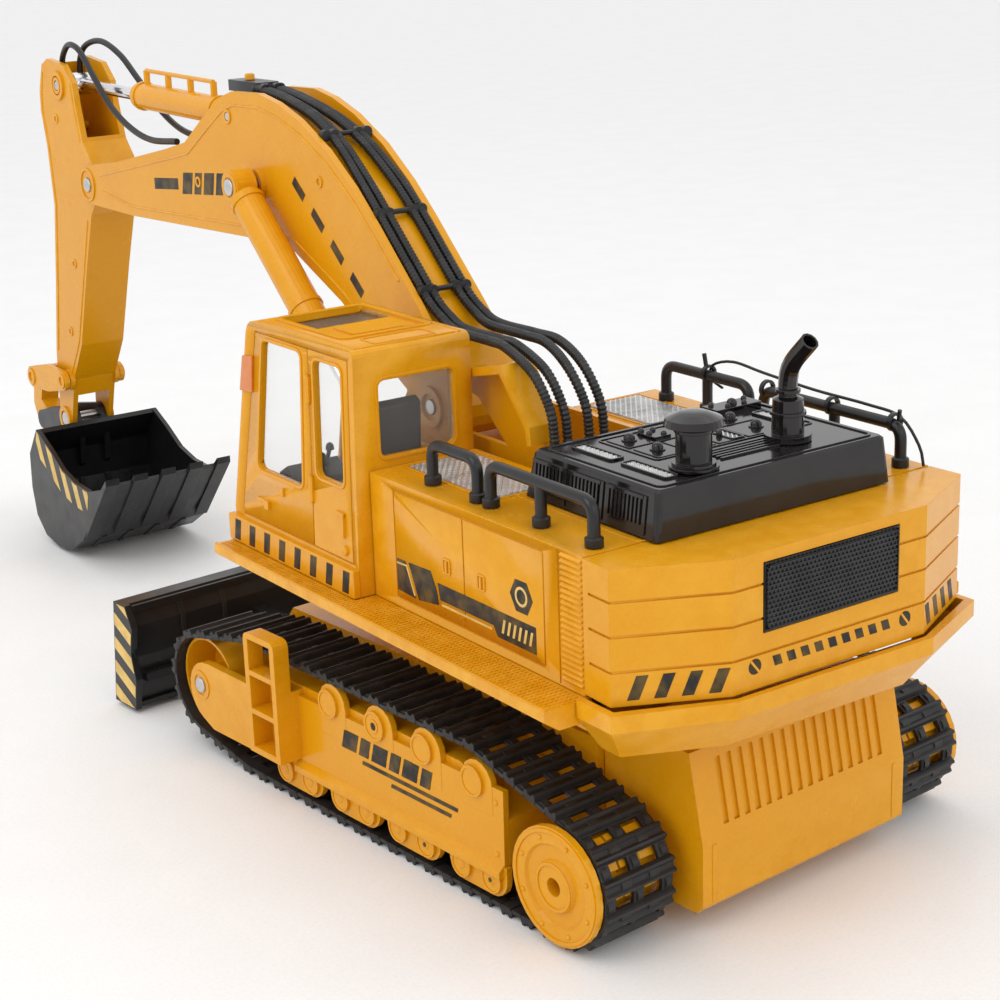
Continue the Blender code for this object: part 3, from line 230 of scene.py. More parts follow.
def smooth_route(points, spacing):
    """Points about a spacing apart on one smooth curve through the given points."""
    knots = [Vector(p) for p in points]
    knots = [2 * knots[0] - knots[1], *knots, 2 * knots[-1] - knots[-2]]
    route = []
    for p0, p1, p2, p3 in zip(knots, knots[1:], knots[2:], knots[3:]):
        steps = max(1, round((p2 - p1).length / spacing))
        for i in range(steps):
            t = i / steps
            curve = 2 * p1 + (p2 - p0) * t + (2 * p0 - 5 * p1 + 4 * p2 - p3) * t**2
            route.append((curve + (3 * p1 - p0 - 3 * p2 + p3) * t**3) / 2)
    return [*route, knots[-2]]


def tube(points, radius, sides=12):
    """A round bar swept along points; the radius is a number or one per point."""
    path = [Vector(p) for p in points]
    radii = radius if isinstance(radius, list) else [radius] * len(path)
    heading = (path[1] - path[0]).normalized()
    side = heading.orthogonal().normalized()
    vertices = []
    for i, point in enumerate(path):
        ahead = (path[min(i + 1, len(path) - 1)] - path[max(i - 1, 0)]).normalized()
        side.rotate(heading.rotation_difference(ahead))
        heading = ahead
        other = heading.cross(side)
        for t in (2 * pi * k / sides for k in range(sides)):
            vertices.append(tuple(point + radii[i] * (cos(t) * side + sin(t) * other)))
    last = len(vertices) - sides
    faces = [tuple(range(sides)), tuple(range(last, len(vertices)))]
    for step in range(len(path) - 1):
        low = step * sides
        for i in range(sides):
            j = (i + 1) % sides
            faces.append((low + i, low + j, low + sides + j, low + sides + i))
    return vertices, faces


def bent_bar(corners, radius, bend, sides=16):
    """A tube along straight runs whose corners are rounded with a bend radius."""
    path = [Vector(corners[0])]
    for before, here, after in zip(corners, corners[1:], corners[2:]):
        here = Vector(here)
        back = (Vector(before) - here).normalized() * bend
        on = (Vector(after) - here).normalized() * bend
        path += [here + back * (1 - i / 8) ** 2 + on * (i / 8) ** 2 for i in range(9)]
    return tube([*path, Vector(corners[-1])], radius, sides)


def ribbed_hose(points, radius, pitch=1.7, depth=0.32, sides=12):
    """A corrugated hose: its radius steps between ridge and valley."""
    path = smooth_route(points, pitch / 4)
    levels = (0, 0, -depth, -depth)
    return tube(path, [radius + levels[i % 4] for i in range(len(path))], sides)


def moved(shape, change):
    """The shape with each point passed through a function."""
    points, faces = shape
    return [tuple(change(Vector(p))) for p in points], faces


def mirrored(shape):
    points, faces = shape
    return [(-x, y, z) for x, y, z in points], faces


def on_line(start, end, along, across):
    line = (Vector(end) - Vector(start)).normalized()
    return tuple(Vector(start) + line * along + Vector((-line.y, line.x)) * across)


def both_sides(shapes):
    return [*shapes, *[mirrored(shape) for shape in shapes]]


def sided(sign, shapes):
    """Shapes drawn for the left side, mirrored when the sign is negative."""
    return shapes if sign > 0 else [mirrored(shape) for shape in shapes]


def decal(axis, outline, face, lift=0.1):
    """A printed shape that stands just proud of a face."""
    return prism(axis, outline, face - 0.2, face + lift)


def boss(centre, outer, inner, face, height, steps=32):
    """A raised ring on a face across X."""
    return ring("x", centre, outer, inner, face - ROOT, face + height, steps)


def raised(face, height, y, z):
    """A raised block on a face across X."""
    return slab((face - ROOT, face + height), y, z)


def ridge(line, x):
    """Thin round ridges that follow a line of (y, z) points."""
    points = [(x, *point) for point in line]
    return [tube([a, b], 0.55, 6) for a, b in zip(points, points[1:])]


# ---------------------------------------------------------------- materials


def node(tree, kind, **constants):
    """A new shader node with constants on its sockets, whose spaces are written as underscores."""
    made = tree.nodes.new(f"ShaderNode{kind}")
    for name, value in constants.items():
        made.inputs[name.replace("_", " ")].default_value = value
    return made


def ramp(tree, source, low, high, dark, light):
    made = node(tree, "ValToRGB")
    for stop, place, colour in zip(made.color_ramp.elements, (low, high), (dark, light)):
        stop.position = place
        stop.color = (*colour, 1)
    tree.links.new(source, made.inputs["Fac"])
    return made.outputs["Color"]


def noise(tree, scale, detail):
    made = node(tree, "TexNoise", Scale=scale, Detail=detail, Roughness=0.55)
    tree.links.new(tree.nodes["Place"].outputs["Object"], made.inputs["Vector"])
    return made.outputs["Fac"]


def mixed(tree, kind, fac, a, b):
    """Two colours mixed or multiplied; fac and b may be a constant or a socket."""
    made = node(tree, "Mix")
    made.data_type = "RGBA"
    made.blend_type = kind
    if isinstance(fac, (int, float)):
        made.inputs["Factor"].default_value = fac
    else:
        tree.links.new(fac, made.inputs["Factor"])
    tree.links.new(a, made.inputs[6])
    if isinstance(b, tuple):
        made.inputs[7].default_value = (*b, 1)
    else:
        tree.links.new(b, made.inputs[7])
    return made.outputs[2]


def ranged(tree, source, low, high):
    made = node(tree, "MapRange", From_Min=0.3, From_Max=0.7, To_Min=low, To_Max=high)
    tree.links.new(source, made.inputs["Value"])
    return made.outputs["Result"]


# How fine each noise is, in waves per metre.
CLOUDS, WAVES, SMEARS, PATCHES, SPECKLE = 22, 55, 85, 130, 700
NOTHING, WHITE = (0, 0, 0), (1, 1, 1)


def material(
    name, dark, light, rough, wear=None, grain=900, grain_depth=0.03, metal=0, coat=0, round_edge=0.0003,
    specular=0.5,
):
    """A surface with cloudy colour, speckle, uneven gloss, grain and worn edges."""
    made = bpy.data.materials.new(name)
    made.use_nodes = True
    tree = made.node_tree
    shader = tree.nodes["Principled BSDF"]
    node(tree, "TexCoord").name = "Place"
    cloudy = ramp(tree, noise(tree, CLOUDS, 5), 0.35, 0.65, dark, light)
    speckle = ramp(tree, noise(tree, SPECKLE, 3), 0.42, 0.72, WHITE, (0.9, 0.9, 0.9))
    colour = mixed(tree, "MULTIPLY", 0.5, cloudy, speckle)
    if wear:
        edge = ramp(tree, node(tree, "NewGeometry").outputs["Pointiness"], 0.535, 0.66, NOTHING, WHITE)
        patchy = ramp(tree, noise(tree, PATCHES, 6), 0.4, 0.62, NOTHING, (0.5, 0.5, 0.5))
        colour = mixed(tree, "MIX", mixed(tree, "MULTIPLY", 1, edge, patchy), colour, wear)
    constants = {"Metallic": metal, "Coat Weight": coat, "Coat Roughness": 0.06, "Specular IOR Level": specular}
    for socket, value in constants.items():
        shader.inputs[socket].default_value = value
    bump = node(tree, "Bump", Strength=0.35, Distance=grain_depth * MM)
    wave = node(tree, "Bump", Strength=0.1, Distance=0.12 * MM)
    edge_round = node(tree, "Bevel", Radius=round_edge)
    edge_round.samples = 4
    for source, socket in (
        (colour, shader.inputs["Base Color"]),
        (ranged(tree, noise(tree, SMEARS, 6), *rough), shader.inputs["Roughness"]),
        (noise(tree, grain, 3), bump.inputs["Height"]),
        (noise(tree, WAVES, 2), wave.inputs["Height"]),
        (edge_round.outputs["Normal"], wave.inputs["Normal"]),
        (wave.outputs["Normal"], bump.inputs["Normal"]),
        (bump.outputs["Normal"], shader.inputs["Normal"]),
    ):
        tree.links.new(source, socket)
    return made


def clear_plastic():
    made = material("clear_plastic", (0.8, 0.86, 0.88), (0.9, 0.94, 0.95), (0.03, 0.09))
    shader = made.node_tree.nodes["Principled BSDF"]
    shader.inputs["Alpha"].default_value = 0.05
    shader.inputs["IOR"].default_value = 1.5
    made.surface_render_method = "BLENDED"
    return made


YELLOW = material(
    "yellow_plastic", (0.715, 0.308, 0.002), (0.735, 0.322, 0.004), (0.2, 0.3), (0.85, 0.44, 0.03), coat=0.08,
    specular=0.3,
)
AMBER = material("amber_plastic", (0.62, 0.15, 0.006), (0.7, 0.2, 0.01), (0.15, 0.25), (0.85, 0.4, 0.1), coat=0.3)
BLACK = material(
    "black_plastic", (0.007, 0.007, 0.008), (0.013, 0.013, 0.014), (0.26, 0.42), (0.03, 0.03, 0.031), coat=0.05,
    specular=0.4,
)
GLOSS = material(
    "gloss_black_plastic", (0.005, 0.004, 0.004), (0.011, 0.008, 0.008), (0.07, 0.16), (0.025, 0.025, 0.025),
    coat=0.15, specular=0.4,
)
RUBBER = material(
    "track_rubber", (0.006, 0.006, 0.006), (0.014, 0.013, 0.013), (0.42, 0.62), (0.03, 0.029, 0.028), 1400, 0.08,
)
HOSE = material(
    "hose_rubber", (0.006, 0.006, 0.006), (0.012, 0.012, 0.012), (0.32, 0.48), (0.028, 0.028, 0.028), 1500, 0.04,
)
STEEL = material(
    "bare_steel", (0.5, 0.5, 0.5), (0.64, 0.64, 0.65), (0.22, 0.36), (0.75, 0.75, 0.75), 1600, 0.02, 1,
)
CHROME = material(
    "bright_plating", (0.66, 0.66, 0.68), (0.8, 0.8, 0.81), (0.08, 0.18), (0.9, 0.9, 0.9), 1600, 0.01, 1,
)
SILVER = material(
    "silver_mesh", (0.5, 0.5, 0.49), (0.68, 0.68, 0.67), (0.25, 0.4), (0.85, 0.85, 0.84), 1200, 0.02, 0.7,
)
INK = material(
    "black_print", (0.012, 0.012, 0.012), (0.022, 0.022, 0.022), (0.36, 0.5), (0.2, 0.12, 0.02), round_edge=0.0001,
    specular=0.25,
)
CREAM = material(
    "cream_print", (0.76, 0.5, 0.12), (0.8, 0.56, 0.17), (0.36, 0.5), (0.5, 0.3, 0.06), round_edge=0.0001,
)
SEAT = material(
    "seat_plastic", (0.01, 0.01, 0.011), (0.02, 0.02, 0.021), (0.5, 0.66), (0.06, 0.06, 0.06), 700, 0.12,
)
BOARD = material("circuit_green", (0.01, 0.12, 0.04), (0.02, 0.18, 0.06), (0.3, 0.45), (0.3, 0.4, 0.2))
WRAP = material("battery_wrap", (0.015, 0.06, 0.3), (0.02, 0.09, 0.38), (0.25, 0.35), (0.2, 0.3, 0.6))
CLEAR = clear_plastic()

# ---------------------------------------------------------------- pieces


def new_object(name, data):
    made = bpy.data.objects.new(name, data)
    bpy.context.scene.collection.objects.link(made)
    return made


def mesh_of(name, space, shapes):
    """One mesh from shapes in a space, its faces turned outwards and smooth but for sharp edges."""
    points, faces = [], []
    for shape_points, shape_faces in shapes:
        faces += [tuple(len(points) + i for i in face) for face in shape_faces]
        points += shape_points
    mesh = bpy.data.meshes.new(name)
    mesh.from_pydata([space @ (Vector(p) * MM) for p in points], [], faces)
    bm = bmesh.new()
    bm.from_mesh(mesh)
    bmesh.ops.recalc_face_normals(bm, faces=bm.faces)
    bm.to_mesh(mesh)
    bm.free()
    mesh.shade_smooth()
    mesh.set_sharp_from_angle(angle=radians(35))
    return mesh


def piece(name, body, look, shapes, space=HOUSE, soft=0):
    """A named piece on a body; soft is the width of its rounded edges."""
    obj = new_object(name, mesh_of(name, space, shapes))
    obj.data.materials.append(look)
    if soft:
        bevel = obj.modifiers.new("soft edges", "BEVEL")
        bevel.width = soft * MM
        bevel.segments = 2
        bevel.limit_method = "ANGLE"
        bevel.angle_limit = radians(40)
        bevel.harden_normals = True
    if body:
        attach(obj, body)
    return obj


def grooved(node, body, look, cuts):
    """A CAD node's copy with panel lines cut into it, shown in the node's place."""
    skin = new_object(f"{node}_panelled", NODES[node].data.copy())
    bm = bmesh.new()
    bm.from_mesh(skin.data)
    bmesh.ops.remove_doubles(bm, verts=bm.verts, dist=2e-6)
    bm.to_mesh(skin.data)
    bm.free()
    helpers = []
    for cut in cuts:
        helper = new_object("cut", mesh_of("cut", HOUSE, [cut]))
        step = skin.modifiers.new("cut", "BOOLEAN")
        step.object = helper
        step.operation = "DIFFERENCE"
        helpers.append(helper)
    graph = bpy.context.evaluated_depsgraph_get()
    mesh = bpy.data.meshes.new_from_object(skin.evaluated_get(graph))
    skin.modifiers.clear()
    skin.data = mesh
    for helper in helpers:
        bpy.data.objects.remove(helper)
    mesh.materials.clear()
    mesh.materials.append(look)
    mesh.shade_smooth()
    mesh.set_sharp_from_angle(angle=radians(32))
    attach(skin, body)
    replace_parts(skin, node)


def dress(look, *nodes):
    for node in nodes:
        NODES[node].data.materials.clear()
        NODES[node].data.materials.append(look)


def dress_frame():
    """Every CAD node's look, apart from the deck pads."""
    looks = {
        YELLOW: "hull rear_housing track_frame_left track_frame_right battery_door drive_sprocket_left "
        "drive_sprocket_right idler_wheel_left idler_wheel_right house_base rear_tray boom_mount boom_barrel_left "
        "boom_barrel_right boom_shell counterweight stick_arm stick_barrel bucket_link rocker",
        BLACK: "slew_ring drive_unit_left drive_unit_right switch_slider dozer_blade bucket rear_grille speaker "
        "aerial_wire",
        SEAT: "cab_seat",
        GLOSS: "engine_hood air_cleaner exhaust_pipe",
        STEEL: "slew_motor slew_pinion boom_pin ram_foot_pin stick_pin ram_head_pin bucket_pin",
        CHROME: "boom_rod_left boom_rod_right stick_rod",
        BOARD: "circuit_board",
        WRAP: "battery_pack",
        CLEAR: "cab_glazing",
    }
    for look, nodes in looks.items():
        dress(look, *nodes.split())


# ---------------------------------------------------------------- tracks

SUPPORTS = ((66, 38.4), (-74, 38.4))
GROUND_END_Y = -78
BELT_INNER_R = 20.6
PAD_PITCH = 11.2
WEB = 1.5
PAD = 3.7


def belt_pieces():
    """The belt's inner line as arcs round its wheels and supports, each followed by a straight run."""
    axle = pin_of("sprocket_left_spin", CHASSIS)
    idler = pin_of("idler_left_spin", CHASSIS)
    centres = [Vector(p) for p in (axle, *SUPPORTS, idler, (GROUND_END_Y, axle[1]))]
    runs = [ahead - here for here, ahead in zip(centres, (*centres[1:], centres[0]))]
    normals = [atan2(run.y, run.x) - pi / 2 for run in runs]
    pieces = []
    for i, centre in enumerate(centres):
        sweep = (normals[i] - normals[i - 1]) % (2 * pi)
        pieces.append((centre, BELT_INNER_R, normals[i - 1], sweep, runs[i].length))
    return pieces


def belt_point(pieces, distance, height):
    """The (y, z) point a distance along the belt's inner line and a height outside it."""
    for centre, radius, start, sweep, run in pieces:
        if distance <= radius * sweep:
            angle = start + distance / radius
            return tuple(centre + (radius + height) * Vector((cos(angle), sin(angle))))
        distance -= radius * sweep
        normal = Vector((cos(start + sweep), sin(start + sweep)))
        if distance <= run:
            along = Vector((-normal.y, normal.x))
            return tuple(centre + normal * (radius + height) + along * distance)
        distance -= run
    return belt_point(pieces, distance, height)


def belt_bar(pieces, start, end, x, low, tops, steps=1):
    """A bar of the belt from one distance to another; tops are its heights at even shares of its length."""
    outline = []
    count = max(steps, len(tops) - 1)
    for i in range(count + 1):
        share = i / count * (len(tops) - 1)
        k = min(int(share), len(tops) - 2)
        top = tops[k] + (tops[k + 1] - tops[k]) * (share - k)
        outline.append(belt_point(pieces, start + (end - start) * i / count, top))
    for i in range(count, -1, -1):
        outline.append(belt_point(pieces, start + (end - start) * i / count, low))
    return prism("x", outline, *x)


def belt(side):
    """A rubber belt: a web with two rows of windows, and a pad with a grip ridge at each pitch."""
    extent = Box(f"track_belt_{side}", CHASSIS)
    x0, x1 = extent.x0, extent.x1
    width = x1 - x0
    pieces = belt_pieces()
    length = sum(radius * sweep + run for _, radius, _, sweep, run in pieces)
    pads = round(length / PAD_PITCH)
    pitch = length / pads
    grip = (WEB, PAD - 0.2, PAD, PAD - 1.2, PAD - 1.3, PAD - 1.2, PAD - 0.1, PAD - 0.3, WEB)
    shapes = []
    for pad in range(pads):

        def bar(start, end, x, low, tops, steps=1):
            origin = length * pad / pads
            shapes.append(belt_bar(pieces, origin + pitch * start, origin + pitch * end, x, low, tops, steps))

        bar(0, 0.56, (x0 + 0.2, x1 - 0.2), 0, (WEB, WEB), 2)
        for low, high in ((0, 0.17), (0.42, 0.58), (0.83, 1)):
            bar(0.5, 1.04, (x0 + width * low + 0.2, x0 + width * high - 0.2), 0, (WEB, WEB), 2)
        bar(0.02, 0.6, (x0, x1), 0.8, grip)
        for centre in (x0 + width * share for share in (0.08, 0.5, 0.92)):
            bar(0.6, 0.98, (centre - 1.3, centre + 1.3), 0.6, (WEB, WEB + 0.8, WEB + 0.8, WEB))
        for centre in (x0 + width * share for share in (0.3, 0.7)):
            bar(0.2, 0.4, (centre - 2.2, centre + 2.2), 1.2, (PAD - 0.9, PAD - 0.7, PAD - 0.9))
    obj = piece(f"rubber_belt_{side}", "chassis", RUBBER, shapes, CHASSIS)
    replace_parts(obj, f"track_belt_{side}")


def wheel_details(side, sign):
    """Rings, studs and caps on the sprocket, the idler, the rollers and the tabs of one side."""
    axle, idler = pin_of("sprocket_left_spin", CHASSIS), pin_of("idler_left_spin", CHASSIS)
    wheel, rubber = Box(f"drive_sprocket_{side}", CHASSIS), Box(f"track_belt_{side}", CHASSIS)
    face, plate = max(wheel.x1, -wheel.x0), max(rubber.x1, -rubber.x0)
    skirt = plate - 1.4

    def add(name, body, look, shapes, soft=0):
        piece(f"{name}_{side}", body, look, sided(sign, shapes), CHASSIS, soft)

    shapes = [ring("x", axle, 21, 19.6, face - 0.6, face + 0.25, 48)]
    shapes.append(ring("x", axle, 9, 7.8, face - 0.2, face + 0.5))
    for i in range(8):
        t = radians(22.5 + 45 * i)
        spot = (axle[0] + 17.8 * cos(t), axle[1] + 17.8 * sin(t))
        shapes.append(dome("x", spot, 0.9, face - 0.4, 0.9, 12))
    add("sprocket_trim", f"sprocket_{side}", YELLOW, shapes, 0.15)
    teeth = []
    for i in range(12):
        t = radians(30 * i)
        spread = ((-0.11, 16.6), (-0.075, 19.4), (0.075, 19.4), (0.11, 16.6))
        tooth = [(axle[0] + r * cos(t + a), axle[1] + r * sin(t + a)) for a, r in spread]
        teeth += [prism("x", tooth, *x) for x in ((64.5, 71), (81, 87.5))]
    add("sprocket_teeth", f"sprocket_{side}", YELLOW, teeth, 0.3)
    cap = [(plate - 0.5, 3.4), (plate + 0.7, 3.4), (plate + 1.1, 2.9), (plate + 1.1, 0.2)]
    add("idler_cap", "chassis", STEEL, [turned("x", idler, cap, 24)], 0.1)

    shapes = [boss(idler, 6.4, 4.6, plate, 0.5)]
    tabs = ((-18.2, 49.6), (11.9, 49.6), (40.8, 49.6), (69.8, 46.6))
    rollers = [(y + along, 11.6) for y in (-41.8, -4.3, 32.8, 70.9) for along in (-8.6, 8.6)]
    shapes += [ring("x", tab, 6, 4.9, skirt + 0.6, skirt + 1.25) for tab in tabs]
    shapes.append(ring("x", tabs[1], 2.8, 1.6, skirt + 0.6, skirt + 1.25))
    for roller in rollers:
        shapes += [
            ring("x", roller, 5.4, 4.5, skirt + 0.9, skirt + 1.6),
            dome("x", roller, 2.2, skirt + 0.9, 0.8),
        ]
    for spot in ((-58.5, 24), (-58.5, 40), (82, 22), (82, 42)):
        shapes.append(dome("x", spot, 1.2, skirt - 0.2, 0.7, 12))
    add("roller_trim", "chassis", YELLOW, shapes, 0.12)
    # Painted shade: black discs in the tab's ring and on two roller caps stand in for the shadow inside their
    # holes.
    painted_hole_shade = [disc("x", tabs[1], 1.6, skirt + 0.6, skirt + 0.98)]
    painted_hole_shade += [disc("x", roller, 0.9, skirt + 1, skirt + 1.85, 12) for roller in (rollers[5], rollers[7])]
    add("roller_hole_painted_shade", "chassis", INK, painted_hole_shade)

    marks, start = [], -11
    for wide in (9, 6, 9, 6, 9, 6):
        marks.append(slanted(start, 34, wide, 7.6, 2.2))
        start += wide + 2
    marks += [slanted(2, 30.6, 58, 1.5, 0.5), slanted(20, 27, 36, 1.5, 0.5)]
    add("side_graphic", "chassis", INK, [decal("x", mark, skirt, 0.14) for mark in marks])


def blade_details():
    """Stripes on the dozer blade's ends and ribs on its back."""
    extent = Box("dozer_blade", CHASSIS)
    end = [(-186, 2), (-180, 51), (-170, 51), (-165.5, 41), (-168, 29), (-165.5, 17), (-168, 2)]
    end = grown(end, -0.6)
    marks = []
    for low, high in ((extent.x1 - 0.2, extent.x1 + 0.12), (extent.x0 - 0.12, extent.x0 + 0.2)):
        marks += [prism("x", stripe, low, high) for stripe in stripes(end, 62, 11, 5.6, 2)]
    piece("blade_stripes", "blade", CREAM, marks, CHASSIS)
    ribs = []
    for x in (-66, -44, 44, 66):
        rib = [(-169.4, 6), (-165.4, 8), (-164.6, 16), (-167.2, 27), (-167, 40), (-170.4, 48)]
        ribs.append(prism("x", rib, x - 1.2, x + 1.2))
    x = (extent.x0 + 3.4, extent.x1 - 3.4)
    ribs += [slab(x, (-170.4, -168.8), (47.4, 50.6)), slab(x, (-171.6, -168.6), (2.6, 5))]
    piece("blade_ribs", "blade", BLACK, ribs, CHASSIS, 0.3)


def chassis_details():
    """Screw heads below, the rear housing's corner ribs and the battery door's grips."""
    housing, door = Box("rear_housing", CHASSIS), Box("battery_door", CHASSIS)
    heads = []
    for x in (-30, 30):
        heads += [dome("z", (x, y), 2.2, door.z0 + 0.1, -0.7) for y in (door.y0 + 4, door.y1 - 4)]
    for x in (-46, 46):
        heads += [dome("z", (x, y), 2.4, 14.1, -0.8) for y in (-88, 88)]
        heads.append(dome("z", (x, 136), 2.4, housing.z0 + 0.1, -0.8))
    piece("screw_heads_below", "chassis", STEEL, heads, CHASSIS)
    y = (housing.y1 - 0.4, housing.y1 + 0.35)
    ribs = [slab((x - 1, x + 1), y, (13, 34.5)) for x in (-47.5, 47.5)]
    piece("housing_rim", "chassis", YELLOW, ribs, CHASSIS, 0.2)
    z = (door.z0 - 0.45, door.z0 + 0.2)
    grips = [slab((-20, 20), (y, y + 1), z) for y in (-70, -66, -62, 16, 20)]
    piece("battery_door_grips", "chassis", YELLOW, grips, CHASSIS, 0.2)


# ---------------------------------------------------------------- house


def walkways():
    """Fine grip ribs on the walkway on each side."""
    base, cab = Box("house_base", HOUSE), Box("cab_shell", HOUSE)
    grip, edges = [], []
    for sign in (1, -1):
        y = base.y0 + 2
        while y < base.y1 - 2:
            x = 90 if sign > 0 and y < cab.y1 else 80.4
            while x < base.x1 - 1.6:
                across = sorted((sign * x, sign * (x + 1.5)))
                grip.append(slab(across, (y, y + 1.1), (base.z1 - 0.2, base.z1 + 0.3)))
                x += 2.2
            y += 2
        across = sorted((sign * (base.x1 - 1.2), sign * (base.x1 - 0.1)))
        edges.append(slab(across, (base.y0 + 0.2, base.y1 - 0.2), (base.z1 - 0.3, base.z1 + 0.45)))
    piece("walkway_grip", "house", YELLOW, grip)
    piece("walkway_edges", "house", YELLOW, edges, soft=0.2)


def body_panels():
    """The body shell with its doors' outlines, and the trim, handles and louvres on its sides."""
    shell = Box("house_shell", HOUSE)
    side = shell.x1
    cuts = []
    line = 0.35
    for sign, y0, split, y1 in ((1, 23.6, 68.2, 115.4), (-1, -8, 54, 115.4)):
        x = sorted((sign * (side - 0.5), sign * (side + 1)))
        outline = rounded((y0, y1), (100, 141), 1, 2)
        cuts += [
            band("x", grown(outline, line), grown(outline, -line), *x),
            prism("x", rect((split - line, split + line), (100, 141)), *x),
            prism("x", rect((123.4, 124.1), (97, 144)), *x),
        ]
    grooved("house_shell", "house", YELLOW, cuts)
    handles, louvres = [], []
    for sign, spots in ((1, ((57.6, 120.6), (79, 120.4))), (-1, ((43, 120.6), (65, 120.4)))):
        for y, z in spots:
            outline = rounded((y - 2.4, y + 2.4), (z - 3, z + 3), 1)
            plate = rim("x", grown(outline, -0.8), 0.8, side - 0.2, side + 0.55)
            grip = slab((side - 0.2, side + 0.8), (y - 0.6, y + 0.6), (z - 2.2, z + 2.2))
            handles += sided(sign, [plate, grip])
        z = 99
        while z < 142.4:
            rib = [(side - 0.2, z), (side + 0.75, z + 0.35), (side + 0.85, z + 0.7), (side - 0.2, z + 1.55)]
            louvres += sided(sign, [prism("y", rib, 125.4, 136.6)])
            z += 2.05
    piece("door_handles", "house", YELLOW, handles, soft=0.15)
    piece("side_louvres", "house", YELLOW, louvres)
    rims = (
        ((34.6, 65.4), (10.6, 67.4), 1.2, 0.7, 0.35),
        ((-67.4, -38.6), (-15.4, 35.4), 1.2, 0.7, 0.35),
        ((-55.4, 55.4), (68.6, 136.8), 2, 0.8, 0.3),
    )
    lips = [rim("z", rounded(x, y, r), w, shell.z1 - 0.2, shell.z1 + h) for x, y, r, w, h in rims]
    piece("deck_rims", "house", YELLOW, lips, soft=0.15)
    top = 119
    lid = [rim("z", rounded((-72, -31), (-80, -26), 2), 0.9, top - 0.2, top + 0.6)]
    for y in (-70, -62, -54, -46, -38):
        lid.append(slab((-66, -36), (y, y + 1.4), (top - 0.2, top + 0.5)))
    lid.append(slab((-57, -45), (shell.y0 - 0.7, shell.y0 + 0.4), (112, 115)))
    piece("tool_box_lid", "house", YELLOW, lid, soft=0.2)


def body_graphics():
    """Plain printed bands and bars, without any lettering."""
    face = Box("house_shell", HOUSE).x1
    bands = (
        [(24, 115.4), (30, 115.5), (36, 102.6), (24, 103.2)],
        [(32, 115.6), (46.6, 116.2), (50.2, 110), (51.4, 104.4), (38, 102.6)],
        [(51, 112.8), (110.6, 112.8), (110.6, 103), (88, 103), (85.6, 106.6), (52.4, 106.6)],
        circle((102.6, 121.6), 6.6, 6),
    )
    lines = [
        [(24, 113.4), (30.4, 113.6), (35, 103.6), (35.9, 103.6), (30.9, 114.3), (24, 114.1)],
        [(53.4, 105.4), (84.6, 105.4), (84.6, 104.6), (53.4, 104.6)],
        *[slanted(90.4 + 3.2 * i, 105.2, 1.3, 5.2, 1.4) for i in range(6)],
    ]
    cream = [decal("x", line, face, 0.16) for line in lines]
    cream.append(ring("x", (102.6, 121.6), 3.6, 2.6, face - 0.2, face + 0.16, 24))
    piece("side_bands", "house", INK, both_sides([decal("x", shape, face) for shape in bands]))
    piece("side_band_lines", "house", CREAM, both_sides(cream))


def counterweight_details():
    """Stripes and bars on the counterweight, the grille's weave and the tray's screws."""
    weight = Box("counterweight", HOUSE)
    corner, rear = Vector((80, 151.7)), Vector((43.9, weight.y1))
    along = (rear - corner).normalized()
    out = Vector((along.y, -along.x))

    def on_face(shape):
        """Puts a shape drawn as (distance from the corner, depth, height) on the slanted face."""
        return moved(shape, lambda p: Vector((*(corner + along * p.x + out * p.y), p.z)))

    ink, slots = [], []
    for start in (5.4, 14.3, 23.4, 32.4):
        ink += both_sides([on_face(decal("y", slanted(start, 99.6, 4, 8.2, 3.2), 0, 0.12))])
    for x in (34.4, -34.4):
        ink.append(disc("y", (x, 105.6), 2.7, weight.y1 - 0.2, weight.y1 + 0.12, 28))
        slot = [(x - 2, 103.8), (x - 1.4, 103.2), (x + 2, 107.4), (x + 1.4, 108)]
        slots.append(decal("y", slot, weight.y1, 0.18))
    piece("rear_disc_slots", "house", YELLOW, slots)
    for i in range(9):
        ink.append(decal("y", slanted(-27.4 + 6.2 * i, 103.8, 3.4, 3.6, 1.2), weight.y1, 0.12))
    piece("rear_bars", "house", INK, ink)

    grille = Box("rear_grille", HOUSE)
    weave = []
    z = grille.z0 + 0.7
    row = 0
    while z < grille.z1 - 1:
        weave.append(slab((grille.x0 + 0.5, grille.x1 - 0.5), (grille.y1 - 0.2, grille.y1 + 0.55), (z, z + 0.55)))
        x = grille.x0 + 1 + (row % 2) * 0.9
        while x < grille.x1 - 1.6:
            dash = [(x, z + 0.5), (x + 0.7, z + 0.5), (x + 1.2, z + 1.5), (x + 0.5, z + 1.5)]
            weave.append(decal("y", dash, grille.y1, 0.35))
            x += 1.8
        z += 1.62
        row += 1
    piece("grille_weave", "house", BLACK, weave)
    edge = grown(rounded((grille.x0, grille.x1), (grille.z0, grille.z1), 0.6), -1)
    piece("grille_frame", "house", BLACK, [rim("y", edge, 0.9, grille.y1 - 0.2, grille.y1 + 0.7)])
    screws = [dome("z", (x, 146), 2, Box("rear_tray", HOUSE).z0 + 0.1, -0.6) for x in (70, -70)]
    piece("tray_screws", "house", STEEL, screws)


def lean(p):
    """Moves a point of the cab's outer side inwards, as the side leans in towards the roof."""
    return Vector((p.x - 2.5 * (p.z - 96.5) / 94, p.y, p.z))


def soft_outline(corners, radius, steps=4):
    """An outline whose corners are cut by arcs of a radius."""
    points = []
    for i, corner in enumerate(corners):
        here = Vector(corner)
        before = (Vector(corners[i - 1]) - here).normalized()
        after = (Vector(corners[(i + 1) % len(corners)]) - here).normalized()
        reach = radius / tan(before.angle(after) / 2)
        for k in range(steps + 1):
            t = k / steps
            points.append(tuple(here + before * reach * (1 - t) ** 2 + after * reach * t**2))
    return points


